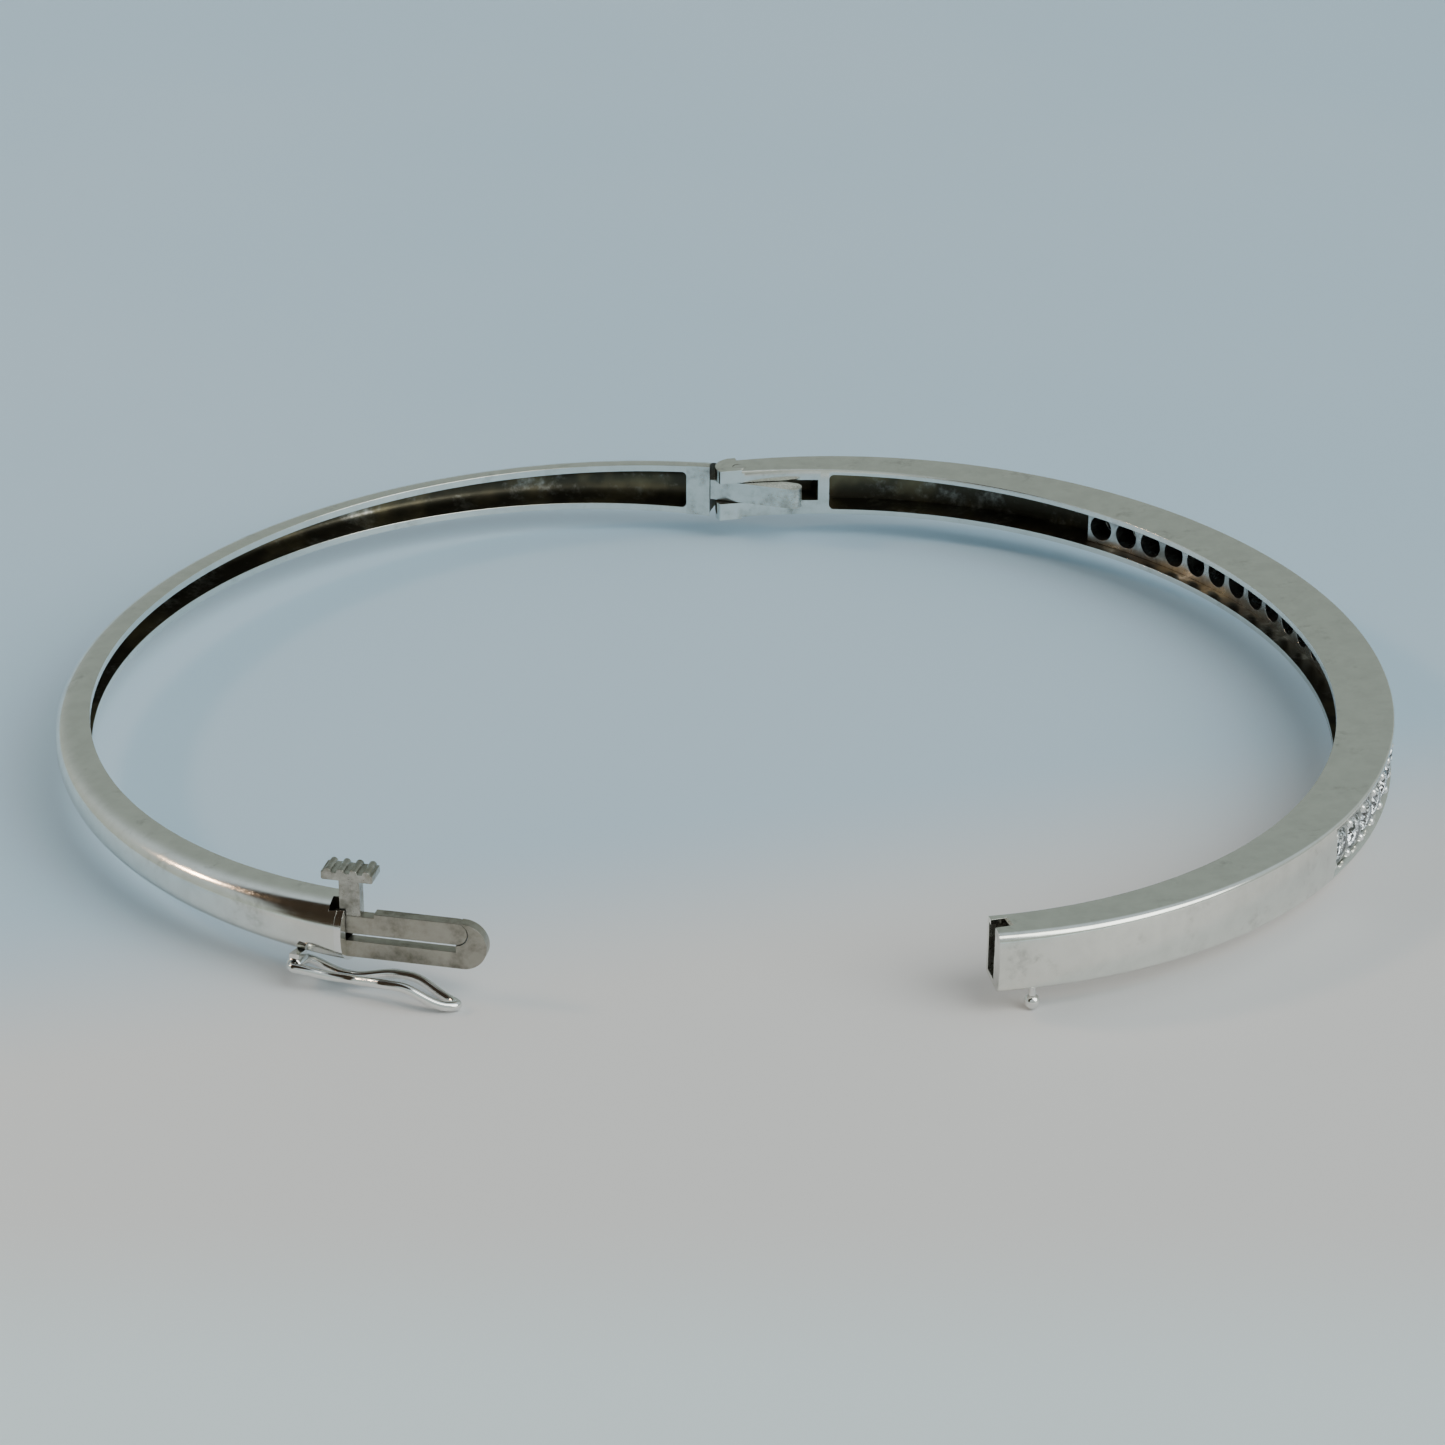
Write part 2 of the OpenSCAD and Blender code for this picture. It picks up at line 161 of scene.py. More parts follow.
def loft(rings: np.ndarray) -> Surface:
    """A solid bar through rings of points, with a flat end on its first and last ring.

    Args:
        rings: points, as rings by points by 3.

    Returns:
        The bar's surface.
    """
    n, m = rings.shape[:2]
    ends = [list(range(m)), list(range((n - 1) * m, n * m))]
    return Surface(rings.reshape(-1, 3), ring_quads(n, m).reshape(-1, 4).tolist() + ends)


def prism(outline: np.ndarray, low: float, high: float) -> Surface:
    """A flat outline carried straight up: ring 0 is the outline at low, ring 1 at high.

    Args:
        outline: points x, y in order round the shape.
        low: height of the underside.
        high: height of the top.

    Returns:
        The prism's surface.
    """
    n = len(outline)
    rings = [np.column_stack([outline, np.full(n, z)]) for z in (low, high)]
    return loft(np.stack(rings))


def lathe(profile: np.ndarray, sides: int = 48) -> Surface:
    """A profile turned about Z: point (r, z) goes to (r cos a, r sin a, z) for angles a all round.

    Args:
        profile: points r, z from pole to pole, or a closed loop that starts and ends at one point.
        sides: number of angles.

    Returns:
        The turned surface; points at the same place are merged when the mesh is made.
    """
    a = np.linspace(0, 2 * math.pi, sides, endpoint=False)
    r, z = profile[:, :1], profile[:, 1:]
    rings = np.stack([r * np.cos(a), r * np.sin(a), z + 0 * a], -1)
    return Surface(rings.reshape(-1, 3), ring_quads(len(profile), sides).reshape(-1, 4).tolist())


def ball(centre: tuple[float, float, float], radius: float, sides: int = 16) -> Surface:
    """A sphere: the half circle (radius cos b, radius sin b) turned about Z, moved to its centre."""
    b = np.linspace(-QUARTER, QUARTER, sides // 2 + 1)
    return lathe(radius * np.column_stack([np.cos(b), np.sin(b)]), sides).moved(shift(*centre))


def closed_wire(path: np.ndarray, radius: float, sides: int = 18) -> Surface:
    """A round wire along a closed path.

    Each ring is centre + radius (cos a side + sin a up), where side is the path's direction
    crossed with Z, and up is side crossed with the direction.

    Args:
        path: points of the wire's middle, none of whose directions is vertical.
        radius: radius of the wire.
        sides: points round the wire.

    Returns:
        The wire's surface, a closed ring.
    """
    ahead = np.roll(path, -1, 0) - np.roll(path, 1, 0)
    ahead /= np.linalg.norm(ahead, axis=1, keepdims=True)
    side = np.cross(ahead, [0.0, 0.0, 1.0])
    side /= np.linalg.norm(side, axis=1, keepdims=True)
    up = np.cross(side, ahead)
    a = np.linspace(0, 2 * math.pi, sides, endpoint=False)[None, :, None]
    rings = path[:, None] + radius * (np.cos(a) * side[:, None] + np.sin(a) * up[:, None])
    count = len(path)
    quads = ring_quads(count + 1, sides).reshape(-1, 4) % (count * sides)
    return Surface(rings.reshape(-1, 3), quads.tolist())


def arc(centre: tuple[float, float], radius: float, start: float, stop: float,
        count: int = 24) -> np.ndarray:
    """Points of a circle's arc: centre + radius (cos a, sin a) for a from start to stop degrees."""
    a = np.radians(np.linspace(start, stop, count))
    return np.column_stack([centre[0] + radius * np.cos(a), centre[1] + radius * np.sin(a)])


def block(low: tuple[float, float, float], high: tuple[float, float, float]) -> Surface:
    """A plain cutting block between two corners."""
    (x0, y0, z0), (x1, y1, z1) = low, high
    return prism(np.array([[x0, y0], [x1, y0], [x1, y1], [x0, y1]]), z0, z1)


def post(radius: float, sides: int = 48) -> Surface:
    """A round cutting post about the hinge pin's axis, taller than the band on both sides."""
    return prism(arc((0, 0), radius, 0, 360 - 360 / sides, sides), -1, 5)


def values(items: bpy.types.bpy_prop_collection, name: str, width: int = 1,
           kind: type = float) -> np.ndarray:
    """Returns one property of every item of a mesh, as rows where its width is over 1."""
    out = np.empty(len(items) * width, kind)
    items.foreach_get(name, out)
    return out.reshape(-1, width) if width > 1 else out


def put_values(mesh: bpy.types.Mesh, name: str, domain: str, values: np.ndarray) -> None:
    """Gives a mesh a new attribute of one number per face or edge."""
    mesh.attributes.new(name, "FLOAT", domain).data.foreach_set(
        "value", np.asarray(values, np.float32))


def as_mesh(name: str, surface: Surface) -> bpy.types.Mesh:
    """Makes a mesh in metres, with its doubles merged and its faces pointing outwards."""
    mesh = bpy.data.meshes.new(name)
    mesh.from_pydata((surface.points * MM).tolist(), [], surface.faces)
    if surface.recess is not None:
        put_values(mesh, "recess", "FACE", surface.recess)
    clean(mesh)
    return mesh


def clean(mesh: bpy.types.Mesh) -> None:
    """Drops points without a face, merges points at one place and turns all faces outwards."""
    bm = bmesh.new()
    bm.from_mesh(mesh)
    bmesh.ops.delete(bm, geom=[v for v in bm.verts if not v.link_faces], context="VERTS")
    bmesh.ops.remove_doubles(bm, verts=bm.verts, dist=1e-7)
    bmesh.ops.dissolve_degenerate(bm, edges=bm.edges, dist=1e-8)
    bmesh.ops.recalc_face_normals(bm, faces=bm.faces)
    bm.to_mesh(mesh)
    bm.free()


def place(obj: bpy.types.Object) -> bpy.types.Object:
    """Links an object to the scene and returns it."""
    bpy.context.scene.collection.objects.link(obj)
    return obj


def carved(name: str, start: Surface, *steps: tuple[Cut, Surface, float]) -> bpy.types.Mesh:
    """A solid that other solids are joined to or cut out of, one after the other.

    A face whose middle lies on a solid that was cut out takes that step's recess, which the metal finishes
    turn into painted shade.

    Args:
        name: name of the mesh.
        start: the first solid.
        steps: what to do, with which solid, and how deep in a recess its faces lie.

    Returns:
        The finished mesh.
    """
    work = place(bpy.data.objects.new(name, as_mesh(name, start)))
    tools = []
    for cut, solid, _ in steps:
        tool = place(bpy.data.objects.new("tool", as_mesh("tool", solid)))
        change = work.modifiers.new("cut", "BOOLEAN")
        change.operation, change.solver, change.object = cut.value, "EXACT", tool
        tools.append(tool)
    bpy.context.view_layer.update()
    ready = work.evaluated_get(bpy.context.evaluated_depsgraph_get())
    mesh = bpy.data.meshes.new_from_object(ready)
    for used in [work, *tools]:
        bpy.data.objects.remove(used)
    mesh.name = name
    clean(mesh)
    recess = np.zeros(len(mesh.polygons))
    for cut, solid, depth in steps:
        if cut is Cut.REMOVE:
            tree = BVHTree.FromPolygons((solid.points * MM).tolist(), solid.faces)
            away = [tree.find_nearest(face.center)[3] for face in mesh.polygons]
            # the recess depth later darkens the face's colour as painted shade
            recess[np.array(away) < 1e-6] = depth
    put_values(mesh, "recess", "FACE", recess)
    return mesh


@dataclass(frozen=True)
class Softening:
    """The small radius that polishing leaves on sharp edges, in millimetres."""

    width: float = 0.03
    segments: int = 2
    sharp_degrees: float = 32.0


@dataclass(frozen=True)
class Seam:
    """An upright plane where two solids of one piece of metal meet, with no edge to soften."""

    point: np.ndarray
    normal: np.ndarray

    def holds(self, points: np.ndarray) -> np.ndarray:
        """Returns which of the points, in metres, lie on the plane."""
        return np.abs((points / MM - self.point) @ self.normal) < 1e-3


def weigh_edges(mesh: bpy.types.Mesh, degrees: float, seams: list[Seam]) -> None:
    """Gives each edge that is to be softened a bevel weight of 1.

    An edge's turn is the angle between the normals of its first and last face.

    Args:
        mesh: the mesh.
        degrees: edges that turn more than this are softened.
        seams: planes whose edges stay as they are.
    """
    corners = values(mesh.loops, "edge_index", 1, int)
    totals = values(mesh.polygons, "loop_total", 1, int)
    normals = values(mesh.polygons, "normal", 3)
    ends = values(mesh.edges, "vertices", 2, int)
    points = values(mesh.vertices, "co", 3)
    face = np.repeat(np.arange(len(totals)), totals)
    first, last = np.zeros((2, len(mesh.edges)), int)
    first[corners[::-1]], last[corners] = face[::-1], face
    weight = (normals[first] * normals[last]).sum(1) < math.cos(math.radians(degrees))
    for seam in seams:
        weight &= ~seam.holds(points)[ends].all(1)
    put_values(mesh, "bevel_weight_edge", "EDGE", weight)


def add_piece(name: str, mesh: bpy.types.Mesh, body: Body,
              material: bpy.types.Material, nodes: list[str],
              soft: Softening | None = None, seams: list[Seam] | None = None
              ) -> bpy.types.Object:
    """Puts a piece on its body.

    Args:
        name: the piece's name.
        mesh: its mesh, in metres.
        body: what it moves with.
        material: its finish.
        nodes: the CAD nodes that it stands for.
        soft: how its edges are softened, if they are.
        seams: planes whose edges aren't softened.

    Returns:
        The piece's object.
    """
    obj = place(bpy.data.objects.new(name, mesh))
    mesh.materials.clear()
    mesh.materials.append(material)
    mesh.polygons.foreach_set("use_smooth", np.ones(len(mesh.polygons), bool))
    sharp = soft.sharp_degrees if soft else 40.0
    mesh.set_sharp_from_angle(angle=math.radians(sharp))
    if soft:
        weigh_edges(mesh, sharp, seams or [])
        bevel = obj.modifiers.new("softened edges", "BEVEL")
        bevel.width, bevel.segments = soft.width * MM, soft.segments
        bevel.limit_method, bevel.harden_normals = "WEIGHT", True
    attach(obj, body.value)
    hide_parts(*nodes)
    LOG.info("%s: %d faces, stands for %s", name, len(mesh.polygons), ", ".join(nodes))
    return obj


# ---------------------------------------------------------------- finishes


class NodeKit:
    """Adds and links shader nodes in one tree."""

    def __init__(self, tree: bpy.types.NodeTree) -> None:
        """Keeps the tree."""
        self.tree = tree

    def add(self, kind: str, inputs: dict[str | int, object] | None = None,
            **settings: object) -> bpy.types.Node:
        """Adds a node.

        Args:
            kind: the node's type name.
            inputs: for each input socket, a value or the output socket that feeds it.
            settings: the node's own properties.

        Returns:
            The node.
        """
        node = self.tree.nodes.new(kind)
        for key, value in settings.items():
            setattr(node, key, value)
        self.feed(node, inputs or {})
        return node

    def feed(self, node: bpy.types.Node, inputs: dict[str | int, object]) -> None:
        """Gives a node's inputs their values, or links them to the output sockets given."""
        for key, value in inputs.items():
            if isinstance(value, bpy.types.NodeSocket):
                self.tree.links.new(value, node.inputs[key])
            else:
                node.inputs[key].default_value = value

    def shade(self, inputs: dict[str | int, object]) -> None:
        """Ends a material with a Principled shader of these inputs."""
        shader = self.add("ShaderNodeBsdfPrincipled", inputs)
        self.add("ShaderNodeOutputMaterial", {"Surface": shader.outputs[0]})

    def maths(self, operation: str, first: object, second: object = 0.0) -> bpy.types.NodeSocket:
        """Adds a Math node of two inputs and returns its output."""
        return self.add("ShaderNodeMath", {0: first, 1: second}, operation=operation).outputs[0]

    def ranged(self, value: object, low: float, high: float, to_low: float = 0.0,
               to_high: float = 1.0) -> bpy.types.NodeSocket:
        """Adds a smooth, clamped Map Range and returns its output."""
        return self.add("ShaderNodeMapRange", {
            "Value": value, "From Min": low, "From Max": high, "To Min": to_low,
            "To Max": to_high}, interpolation_type="SMOOTHSTEP").outputs[0]

    def mixed(self, share: object, first: object, second: object) -> bpy.types.NodeSocket:
        """Adds a colour mix and returns its output."""
        return self.add("ShaderNodeMix", {0: share, 6: first, 7: second},
                        data_type="RGBA").outputs[2]

    def noise(self, place_in: object, scale: float, detail: float = 2.0,
              roughness: float = 0.5) -> bpy.types.NodeSocket:
        """Adds a noise texture and returns its value."""
        return self.add("ShaderNodeTexNoise", {
            "Vector": place_in, "Scale": scale, "Detail": detail,
            "Roughness": roughness}).outputs[0]

    def stretched(self, place_in: object, scale: tuple[float, float, float],
                  turn: tuple[float, float, float]) -> bpy.types.NodeSocket:
        """Adds a Mapping that turns and then stretches a pattern's place."""
        return self.add("ShaderNodeMapping", {
            "Vector": place_in, "Rotation": turn, "Scale": scale}).outputs[0]


def new_material(name: str) -> tuple[bpy.types.Material, NodeKit, bpy.types.NodeSocket]:
    """Starts a material: returns it, its kit, and the place in the object's coordinates."""
    material = bpy.data.materials.new(name)
    material.use_nodes = True
    material.node_tree.nodes.clear()
    kit = NodeKit(material.node_tree)
    return material, kit, kit.add("ShaderNodeTexCoord").outputs["Object"]


def new_group(name: str, inputs: dict[str, tuple[str, float]],
              outputs: list[str]) -> tuple[bpy.types.NodeTree, NodeKit, object, object]:
    """Starts a shader node group whose outputs are all values.

    Args:
        name: the group's name.
        inputs: for each input, its socket type and value.
        outputs: names of its outputs.

    Returns:
        The group, its kit, and its input and output nodes.
    """
    tree = bpy.data.node_groups.new(name, "ShaderNodeTree")
    for label, (kind, value) in inputs.items():
        socket = tree.interface.new_socket(label, in_out="INPUT", socket_type=kind)
        if kind == "NodeSocketFloat":
            socket.default_value = value
    for label in outputs:
        tree.interface.new_socket(label, in_out="OUTPUT", socket_type="NodeSocketFloat")
    kit = NodeKit(tree)
    return tree, kit, kit.add("NodeGroupInput"), kit.add("NodeGroupOutput")


class Effects:
    """The patterns that several finishes share, each a node group made once."""

    def __init__(self) -> None:
        """Makes the groups."""
        self.scratches = self._scratches()
        self.dents = self._dents()
        self.tarnish = self._tarnish_and_recess_shade()
        self.grain = self._grain()

    @staticmethod
    def _scratches() -> bpy.types.NodeTree:
        """Fine hairlines in three directions: narrow bands of noise stretched along each."""
        tree, kit, given, out = new_group(
            "hairline scratches",
            {"Place": ("NodeSocketVector", 0), "Density": ("NodeSocketFloat", 0.5)},
            ["Height", "Mask"])
        total = None
        for scale, turn in (((5200.0, 260.0, 2600.0), (0.1, 0.3, 0.5)),
                            ((300.0, 4600.0, 2400.0), (0.2, 0.1, -0.4)),
                            ((900.0, 500.0, 5200.0), (0.5, 0.2, 1.3))):
            where = kit.stretched(given.outputs["Place"], scale, turn)
            value = kit.noise(where, 1.0, 3.0, 0.6)
            line = kit.maths("ABSOLUTE", kit.maths("SUBTRACT", value, 0.5))
            thin = kit.ranged(line, 0.0, 0.012, 1.0, 0.0)
            total = thin if total is None else kit.maths("ADD", total, thin)
        patches = kit.ranged(kit.noise(given.outputs["Place"], 320.0, 2.0), 0.42, 0.66)
        some = kit.maths("MULTIPLY", kit.maths("MULTIPLY", total, patches),
                         given.outputs["Density"])
        mask = kit.maths("MINIMUM", some, 1.0)
        kit.feed(out, {"Mask": mask, "Height": kit.maths("MULTIPLY", mask, -1.0)})
        return tree

    @staticmethod
    def _dents() -> bpy.types.NodeTree:
        """Uneven polishing and small knocks: slow noise, and cells whose middles sink."""
        tree, kit, given, out = new_group(
            "soft dents",
            {"Place": ("NodeSocketVector", 0), "Knocks": ("NodeSocketFloat", 0.3)},
            ["Height"])
        slow = kit.noise(given.outputs["Place"], 210.0, 2.0, 0.45)
        medium = kit.noise(given.outputs["Place"], 760.0, 2.0, 0.5)
        cells = kit.add("ShaderNodeTexVoronoi", {
            "Vector": given.outputs["Place"], "Scale": 620.0}).outputs["Distance"]
        knock = kit.ranged(cells, 0.0, 0.3, -1.0, 0.0)
        where = kit.ranged(kit.noise(given.outputs["Place"], 170.0, 1.0), 0.5, 0.62)
        hit = kit.maths("MULTIPLY", kit.maths("MULTIPLY", knock, where),
                        given.outputs["Knocks"])
        waves = kit.maths("ADD", slow, kit.maths("MULTIPLY", medium, 0.22))
        kit.feed(out, {"Height": kit.maths("ADD", waves, hit)})
        return tree

    @staticmethod
    def _tarnish_and_recess_shade() -> bpy.types.NodeTree:
        """Cloudy brownish tarnish from two sizes of noise, thickened with painted shade by how deep the
        place lies in a recess.
        """
        tree, kit, given, out = new_group(
            "tarnish film",
            {"Place": ("NodeSocketVector", 0), "Depth": ("NodeSocketFloat", 0.0),
             "Amount": ("NodeSocketFloat", 0.2)},
            ["FilmAndShade", "Yellow"])
        cloud = kit.noise(given.outputs["Place"], 480.0, 5.0, 0.62)
        speck = kit.noise(given.outputs["Place"], 2600.0, 3.0, 0.6)
        both = kit.maths("ADD", kit.maths("MULTIPLY", cloud, 0.7),
                         kit.maths("MULTIPLY", speck, 0.3))
        # painted shade: the deeper a face lies in a recess, the more of the dark tarnish colour it gets
        level = kit.maths("ADD", both, kit.maths("MULTIPLY", given.outputs["Depth"], 0.44))
        raised = kit.maths("ADD", level, kit.maths("MULTIPLY", given.outputs["Amount"], 0.5))
        yellow = kit.ranged(kit.noise(given.outputs["Place"], 300.0, 3.0), 0.45, 0.7)
        kit.feed(out, {"FilmAndShade": kit.ranged(raised, 0.56, 0.96), "Yellow": yellow})
        return tree

    @staticmethod
    def _grain() -> bpy.types.NodeTree:
        """File and saw marks: fine noise, and the same noise drawn out along the metal."""
        tree, kit, given, out = new_group(
            "sawn grain", {"Place": ("NodeSocketVector", 0)}, ["Height"])
        fine = kit.noise(given.outputs["Place"], 9000.0, 3.0, 0.7)
        drawn = kit.noise(kit.stretched(
            given.outputs["Place"], (900.0, 900.0, 7000.0), (0.0, 0.0, 0.2)), 1.0, 3.0, 0.6)
        kit.feed(out, {"Height": kit.maths("ADD", fine, drawn)})
        return tree


@dataclass(frozen=True)
class MetalFinish:
    """How one kind of metal surface was finished and how it has worn."""

    name: str
    colour: tuple[float, float, float]
    # colour of the tarnish, also used as painted shade on faces in recesses
    film_and_shade: tuple[float, float, float] = (0.075, 0.068, 0.05)
    polish: float = 0.1
    dull: float = 0.26
    tarnish: float = 0.05
    scratch_depth: float = 1.2
    dent_depth: float = 14.0
    grain_depth: float = 0.0
    density: float = 0.25
    knocks: float = 0.35

    def made(self, effects: Effects) -> bpy.types.Material:
        """Makes the finish as a material.

        Args:
            effects: the shared patterns.

        Returns:
            The material. Depths are in thousandths of a millimetre.
        """
        material, kit, spot = new_material(self.name)
        recess = kit.add("ShaderNodeAttribute", attribute_name="recess").outputs["Fac"]
        film_and_shade = kit.add("ShaderNodeGroup", {"Place": spot, "Depth": recess,
                                           "Amount": self.tarnish}, node_tree=effects.tarnish)
        lines = kit.add("ShaderNodeGroup", {"Place": spot, "Density": self.density},
                        node_tree=effects.scratches)
        dents = kit.add("ShaderNodeGroup", {"Place": spot, "Knocks": self.knocks},
                        node_tree=effects.dents)
        clouds = kit.noise(spot, 900.0, 4.0, 0.6)
        shade = tuple(0.9 * c for c in self.colour)
        bare = kit.mixed(kit.ranged(clouds, 0.3, 0.75), (*self.colour, 1.0), (*shade, 1.0))
        warm = (self.film_and_shade[0] * 2.6, self.film_and_shade[1] * 2.5, self.film_and_shade[2] * 2.1, 1.0)
        brown_and_shade = kit.mixed(film_and_shade.outputs["Yellow"], (*self.film_and_shade, 1.0), warm)
        # the dark tarnish colour, real tarnish plus painted shade in recesses, goes over the bare metal
        colour = kit.mixed(film_and_shade.outputs["FilmAndShade"], bare, brown_and_shade)
        rough = kit.ranged(clouds, 0.25, 0.8, self.polish, 0.5 * (self.polish + self.dull))
        worn = kit.maths("ADD", rough, kit.maths("MULTIPLY", film_and_shade.outputs["FilmAndShade"], 0.3))
        rubbed = kit.maths("ADD", worn, kit.maths("MULTIPLY", lines.outputs["Mask"], 0.16))
        normal = self._bump(kit, dents.outputs["Height"], self.dent_depth, None)
        normal = self._bump(kit, lines.outputs["Height"], self.scratch_depth, normal)
        if self.grain_depth:
            grain = kit.add("ShaderNodeGroup", {"Place": spot}, node_tree=effects.grain)
            normal = self._bump(kit, grain.outputs["Height"], self.grain_depth, normal)
        kit.shade({"Base Color": colour, "Metallic": 1.0, "Roughness": rubbed,
                   "Normal": normal})
        return material

    @staticmethod
    def _bump(kit: NodeKit, height: bpy.types.NodeSocket, depth: float,
              normal: bpy.types.NodeSocket | None) -> bpy.types.NodeSocket:
        """Adds a bump of depth thousandths of a millimetre on top of a normal."""
        inputs: dict[str | int, object] = {"Height": height, "Distance": depth * 1e-6}
        if normal is not None:
            inputs["Normal"] = normal
        return kit.add("ShaderNodeBump", inputs).outputs["Normal"]


@dataclass(frozen=True)
class StoneFinish:
    """Clear, faceted stone."""

    name: str = "clear cut stone"
    colour: tuple[float, float, float] = (0.96, 0.98, 1.0)
    ior: float = 2.2

    def made(self) -> bpy.types.Material:
        """Makes the finish: clear glass whose roughness rises a little with finger grease."""
        material, kit, spot = new_material(self.name)
        grease = kit.ranged(kit.noise(spot, 1500.0, 3.0), 0.4, 0.75, 0.01, 0.12)
        kit.shade({"Base Color": (*self.colour, 1.0), "Roughness": grease, "IOR": self.ior,
                   "Transmission Weight": 1.0})
        return material


@dataclass(frozen=True)
class PavilionFinish:
    """A stone's lower facets: bright from inside the stone; from behind near black, partly grimy and
    partly painted shade.
    """

    name: str = "stone pavilion"
    inside: tuple[float, float, float] = (0.93, 0.95, 0.97)
    # near-black colours seen from behind: partly grimy, partly painted shade
    grime_and_shade: tuple[float, float, float] = (0.012, 0.012, 0.011)
    dust_and_shade: tuple[float, float, float] = (0.05, 0.047, 0.04)

    def made(self) -> bpy.types.Material:
        """Makes the finish; the dark back, grimy and painted shade, is cloudy and rougher than the facets.
        """
        material, kit, spot = new_material(self.name)
        within = kit.add("ShaderNodeNewGeometry").outputs["Backfacing"]
        cloud = kit.ranged(kit.noise(spot, 2400.0, 3.0), 0.4, 0.7)
        # painted shade: seen from behind, the facets are near black where no light comes through, with
        # some grimy cloudiness
        dirt_and_shade = kit.mixed(cloud, (*self.grime_and_shade, 1.0), (*self.dust_and_shade, 1.0))
        colour = kit.mixed(within, dirt_and_shade, (*self.inside, 1.0))
        rough = kit.add("ShaderNodeMapRange", {
            "Value": within, "To Min": 0.5, "To Max": 0.02}).outputs[0]
        kit.shade({"Base Color": colour, "Metallic": 1.0, "Roughness": rough})
        return material


class Finishes:
    """All the finishes of the bangle."""

    def __init__(self) -> None:
        """Makes every material once."""
        effects = Effects()
        white_gold = (0.80, 0.80, 0.75)
        self.polished = MetalFinish("polished white gold", white_gold).made(effects)
        self.ends = MetalFinish(
            "polished ends", white_gold, tarnish=0.16, dent_depth=8.0).made(effects)
        self.wire = MetalFinish(
            "bright wire", (0.84, 0.84, 0.82), polish=0.06, dull=0.14, tarnish=0.02,
            dent_depth=4.0, density=0.4).made(effects)
        self.tongue = MetalFinish(
            "sawn tongue metal", (0.40, 0.38, 0.33), polish=0.3, dull=0.5, tarnish=0.3,
            scratch_depth=3.0, dent_depth=6.0, grain_depth=2.6, density=1.0).made(effects)
        self.hinge = MetalFinish(
            "worked hinge metal", (0.76, 0.76, 0.71), polish=0.16, dull=0.3, tarnish=0.26,
            scratch_depth=2.0, dent_depth=10.0, grain_depth=0.7, density=1.0).made(effects)
        self.setting = MetalFinish(
            "drilled setting metal", (0.60, 0.62, 0.60), (0.10, 0.10, 0.095), polish=0.2,
            dull=0.4, tarnish=0.4, dent_depth=4.0, grain_depth=0.8).made(effects)
        self.thumb = MetalFinish(
            "ridged thumb metal", (0.52, 0.52, 0.48), polish=0.12, dull=0.3, tarnish=0.5,
            dent_depth=6.0, grain_depth=0.4).made(effects)
        self.bead = MetalFinish(
            "burnished bead metal", (0.92, 0.92, 0.90), polish=0.05, dull=0.12, tarnish=0.0,
            dent_depth=2.0, density=0.2).made(effects)
        self.stone = StoneFinish().made()
        self.pavilion = PavilionFinish().made()


# ---------------------------------------------------------------- the oval


@dataclass(frozen=True)
class Oval:
    """The closed band's inner oval, with the hinge pin on the origin, in millimetres."""

    half_length: float = 29.0
    half_width: float = 25.75
    pin_inset: float = 0.65
    middle: float = 1.6

    @property
    def clasp_y(self) -> float:
        """Place of the oval's far end."""
        return -2 * self.half_length - self.pin_inset

    def share(self, length: float) -> float:
        """Share of a half that a length takes near its ends."""
        return length / (math.pi * self.half_width)

    def plan(self, s: np.ndarray, q: np.ndarray) -> np.ndarray:
        """Points of the plan: the oval's point at s, moved q along its outward normal.

        Args:
            s: place along the half, 0 at the hinge and 1 at the clasp.
            q: distance out from the inner face, of the same shape.

        Returns:
            An array with x and y last. The oval is (half_width cos p, half_length sin p) for
            p = 90 - 180 s degrees, and its normal is (cos p / half_width, sin p / half_length).
        """
        p = QUARTER - math.pi * s
        nx, ny = np.cos(p) / self.half_width, np.sin(p) / self.half_length
        size = np.hypot(nx, ny)
        x = self.half_width * np.cos(p) + q * nx / size
        y = self.half_length * np.sin(p) - self.half_length - self.pin_inset + q * ny / size
        return np.stack([x, y], -1)

    def seam(self, s: float, side: np.ndarray) -> Seam:
        """The upright plane across the half at s, with the half turned by the matrix side."""
        foot, far = self.plan(np.array([s, s]), np.array([0.0, 1.0]))
        across = np.array([foot[1] - far[1], far[0] - foot[0], 0.0])
        point = side[:3, :3] @ np.append(foot, 0.0) + side[:3, 3]
        return Seam(point, side[:3, :3] @ across)

    def fillet(self, s: np.ndarray, radius: float) -> np.ndarray:
        """How far a trough's side has come in at each place to round its corners.

        At distance d from the nearer end it is radius - sqrt(radius^2 - (radius - d)^2), and
        nothing from d = radius on.

        Args:
            s: places along the half, whose first and last are the trough's ends.
            radius: radius of the corners.

        Returns:
            The distances.
        """
        d = np.minimum(s - s[0], s[-1] - s) * math.pi * self.half_width
        return radius - np.sqrt(radius ** 2 - np.clip(radius - d, 0, radius) ** 2)

    def stations(self, places: np.ndarray, radius: float, count: int = 7) -> np.ndarray:
        """Adds places close together near both ends, where a fillet of that radius turns."""
        near = self.share(radius) * (1 - np.cos(np.linspace(0, QUARTER, count + 1)[1:]))
        inner = places[(places > places[0] + near[-1] * 1.2) & (places < places[-1] - near[-1] * 1.2)]
        return np.concatenate([places[:1], places[0] + near, inner, places[-1] - near[::-1],
                               places[-1:]])

    def carried(self, s: np.ndarray, section: np.ndarray) -> np.ndarray:
        """A section of (q, z) points carried along the oval.

        Args:
            s: places along the half.
            section: for each place, its section's points q and z.

        Returns:
            Rings of points, one for each place.
        """
        flat = self.plan(np.broadcast_to(s[:, None], section.shape[:2]), section[..., 0])
        return np.concatenate([flat, self.middle + section[..., 1:]], -1)


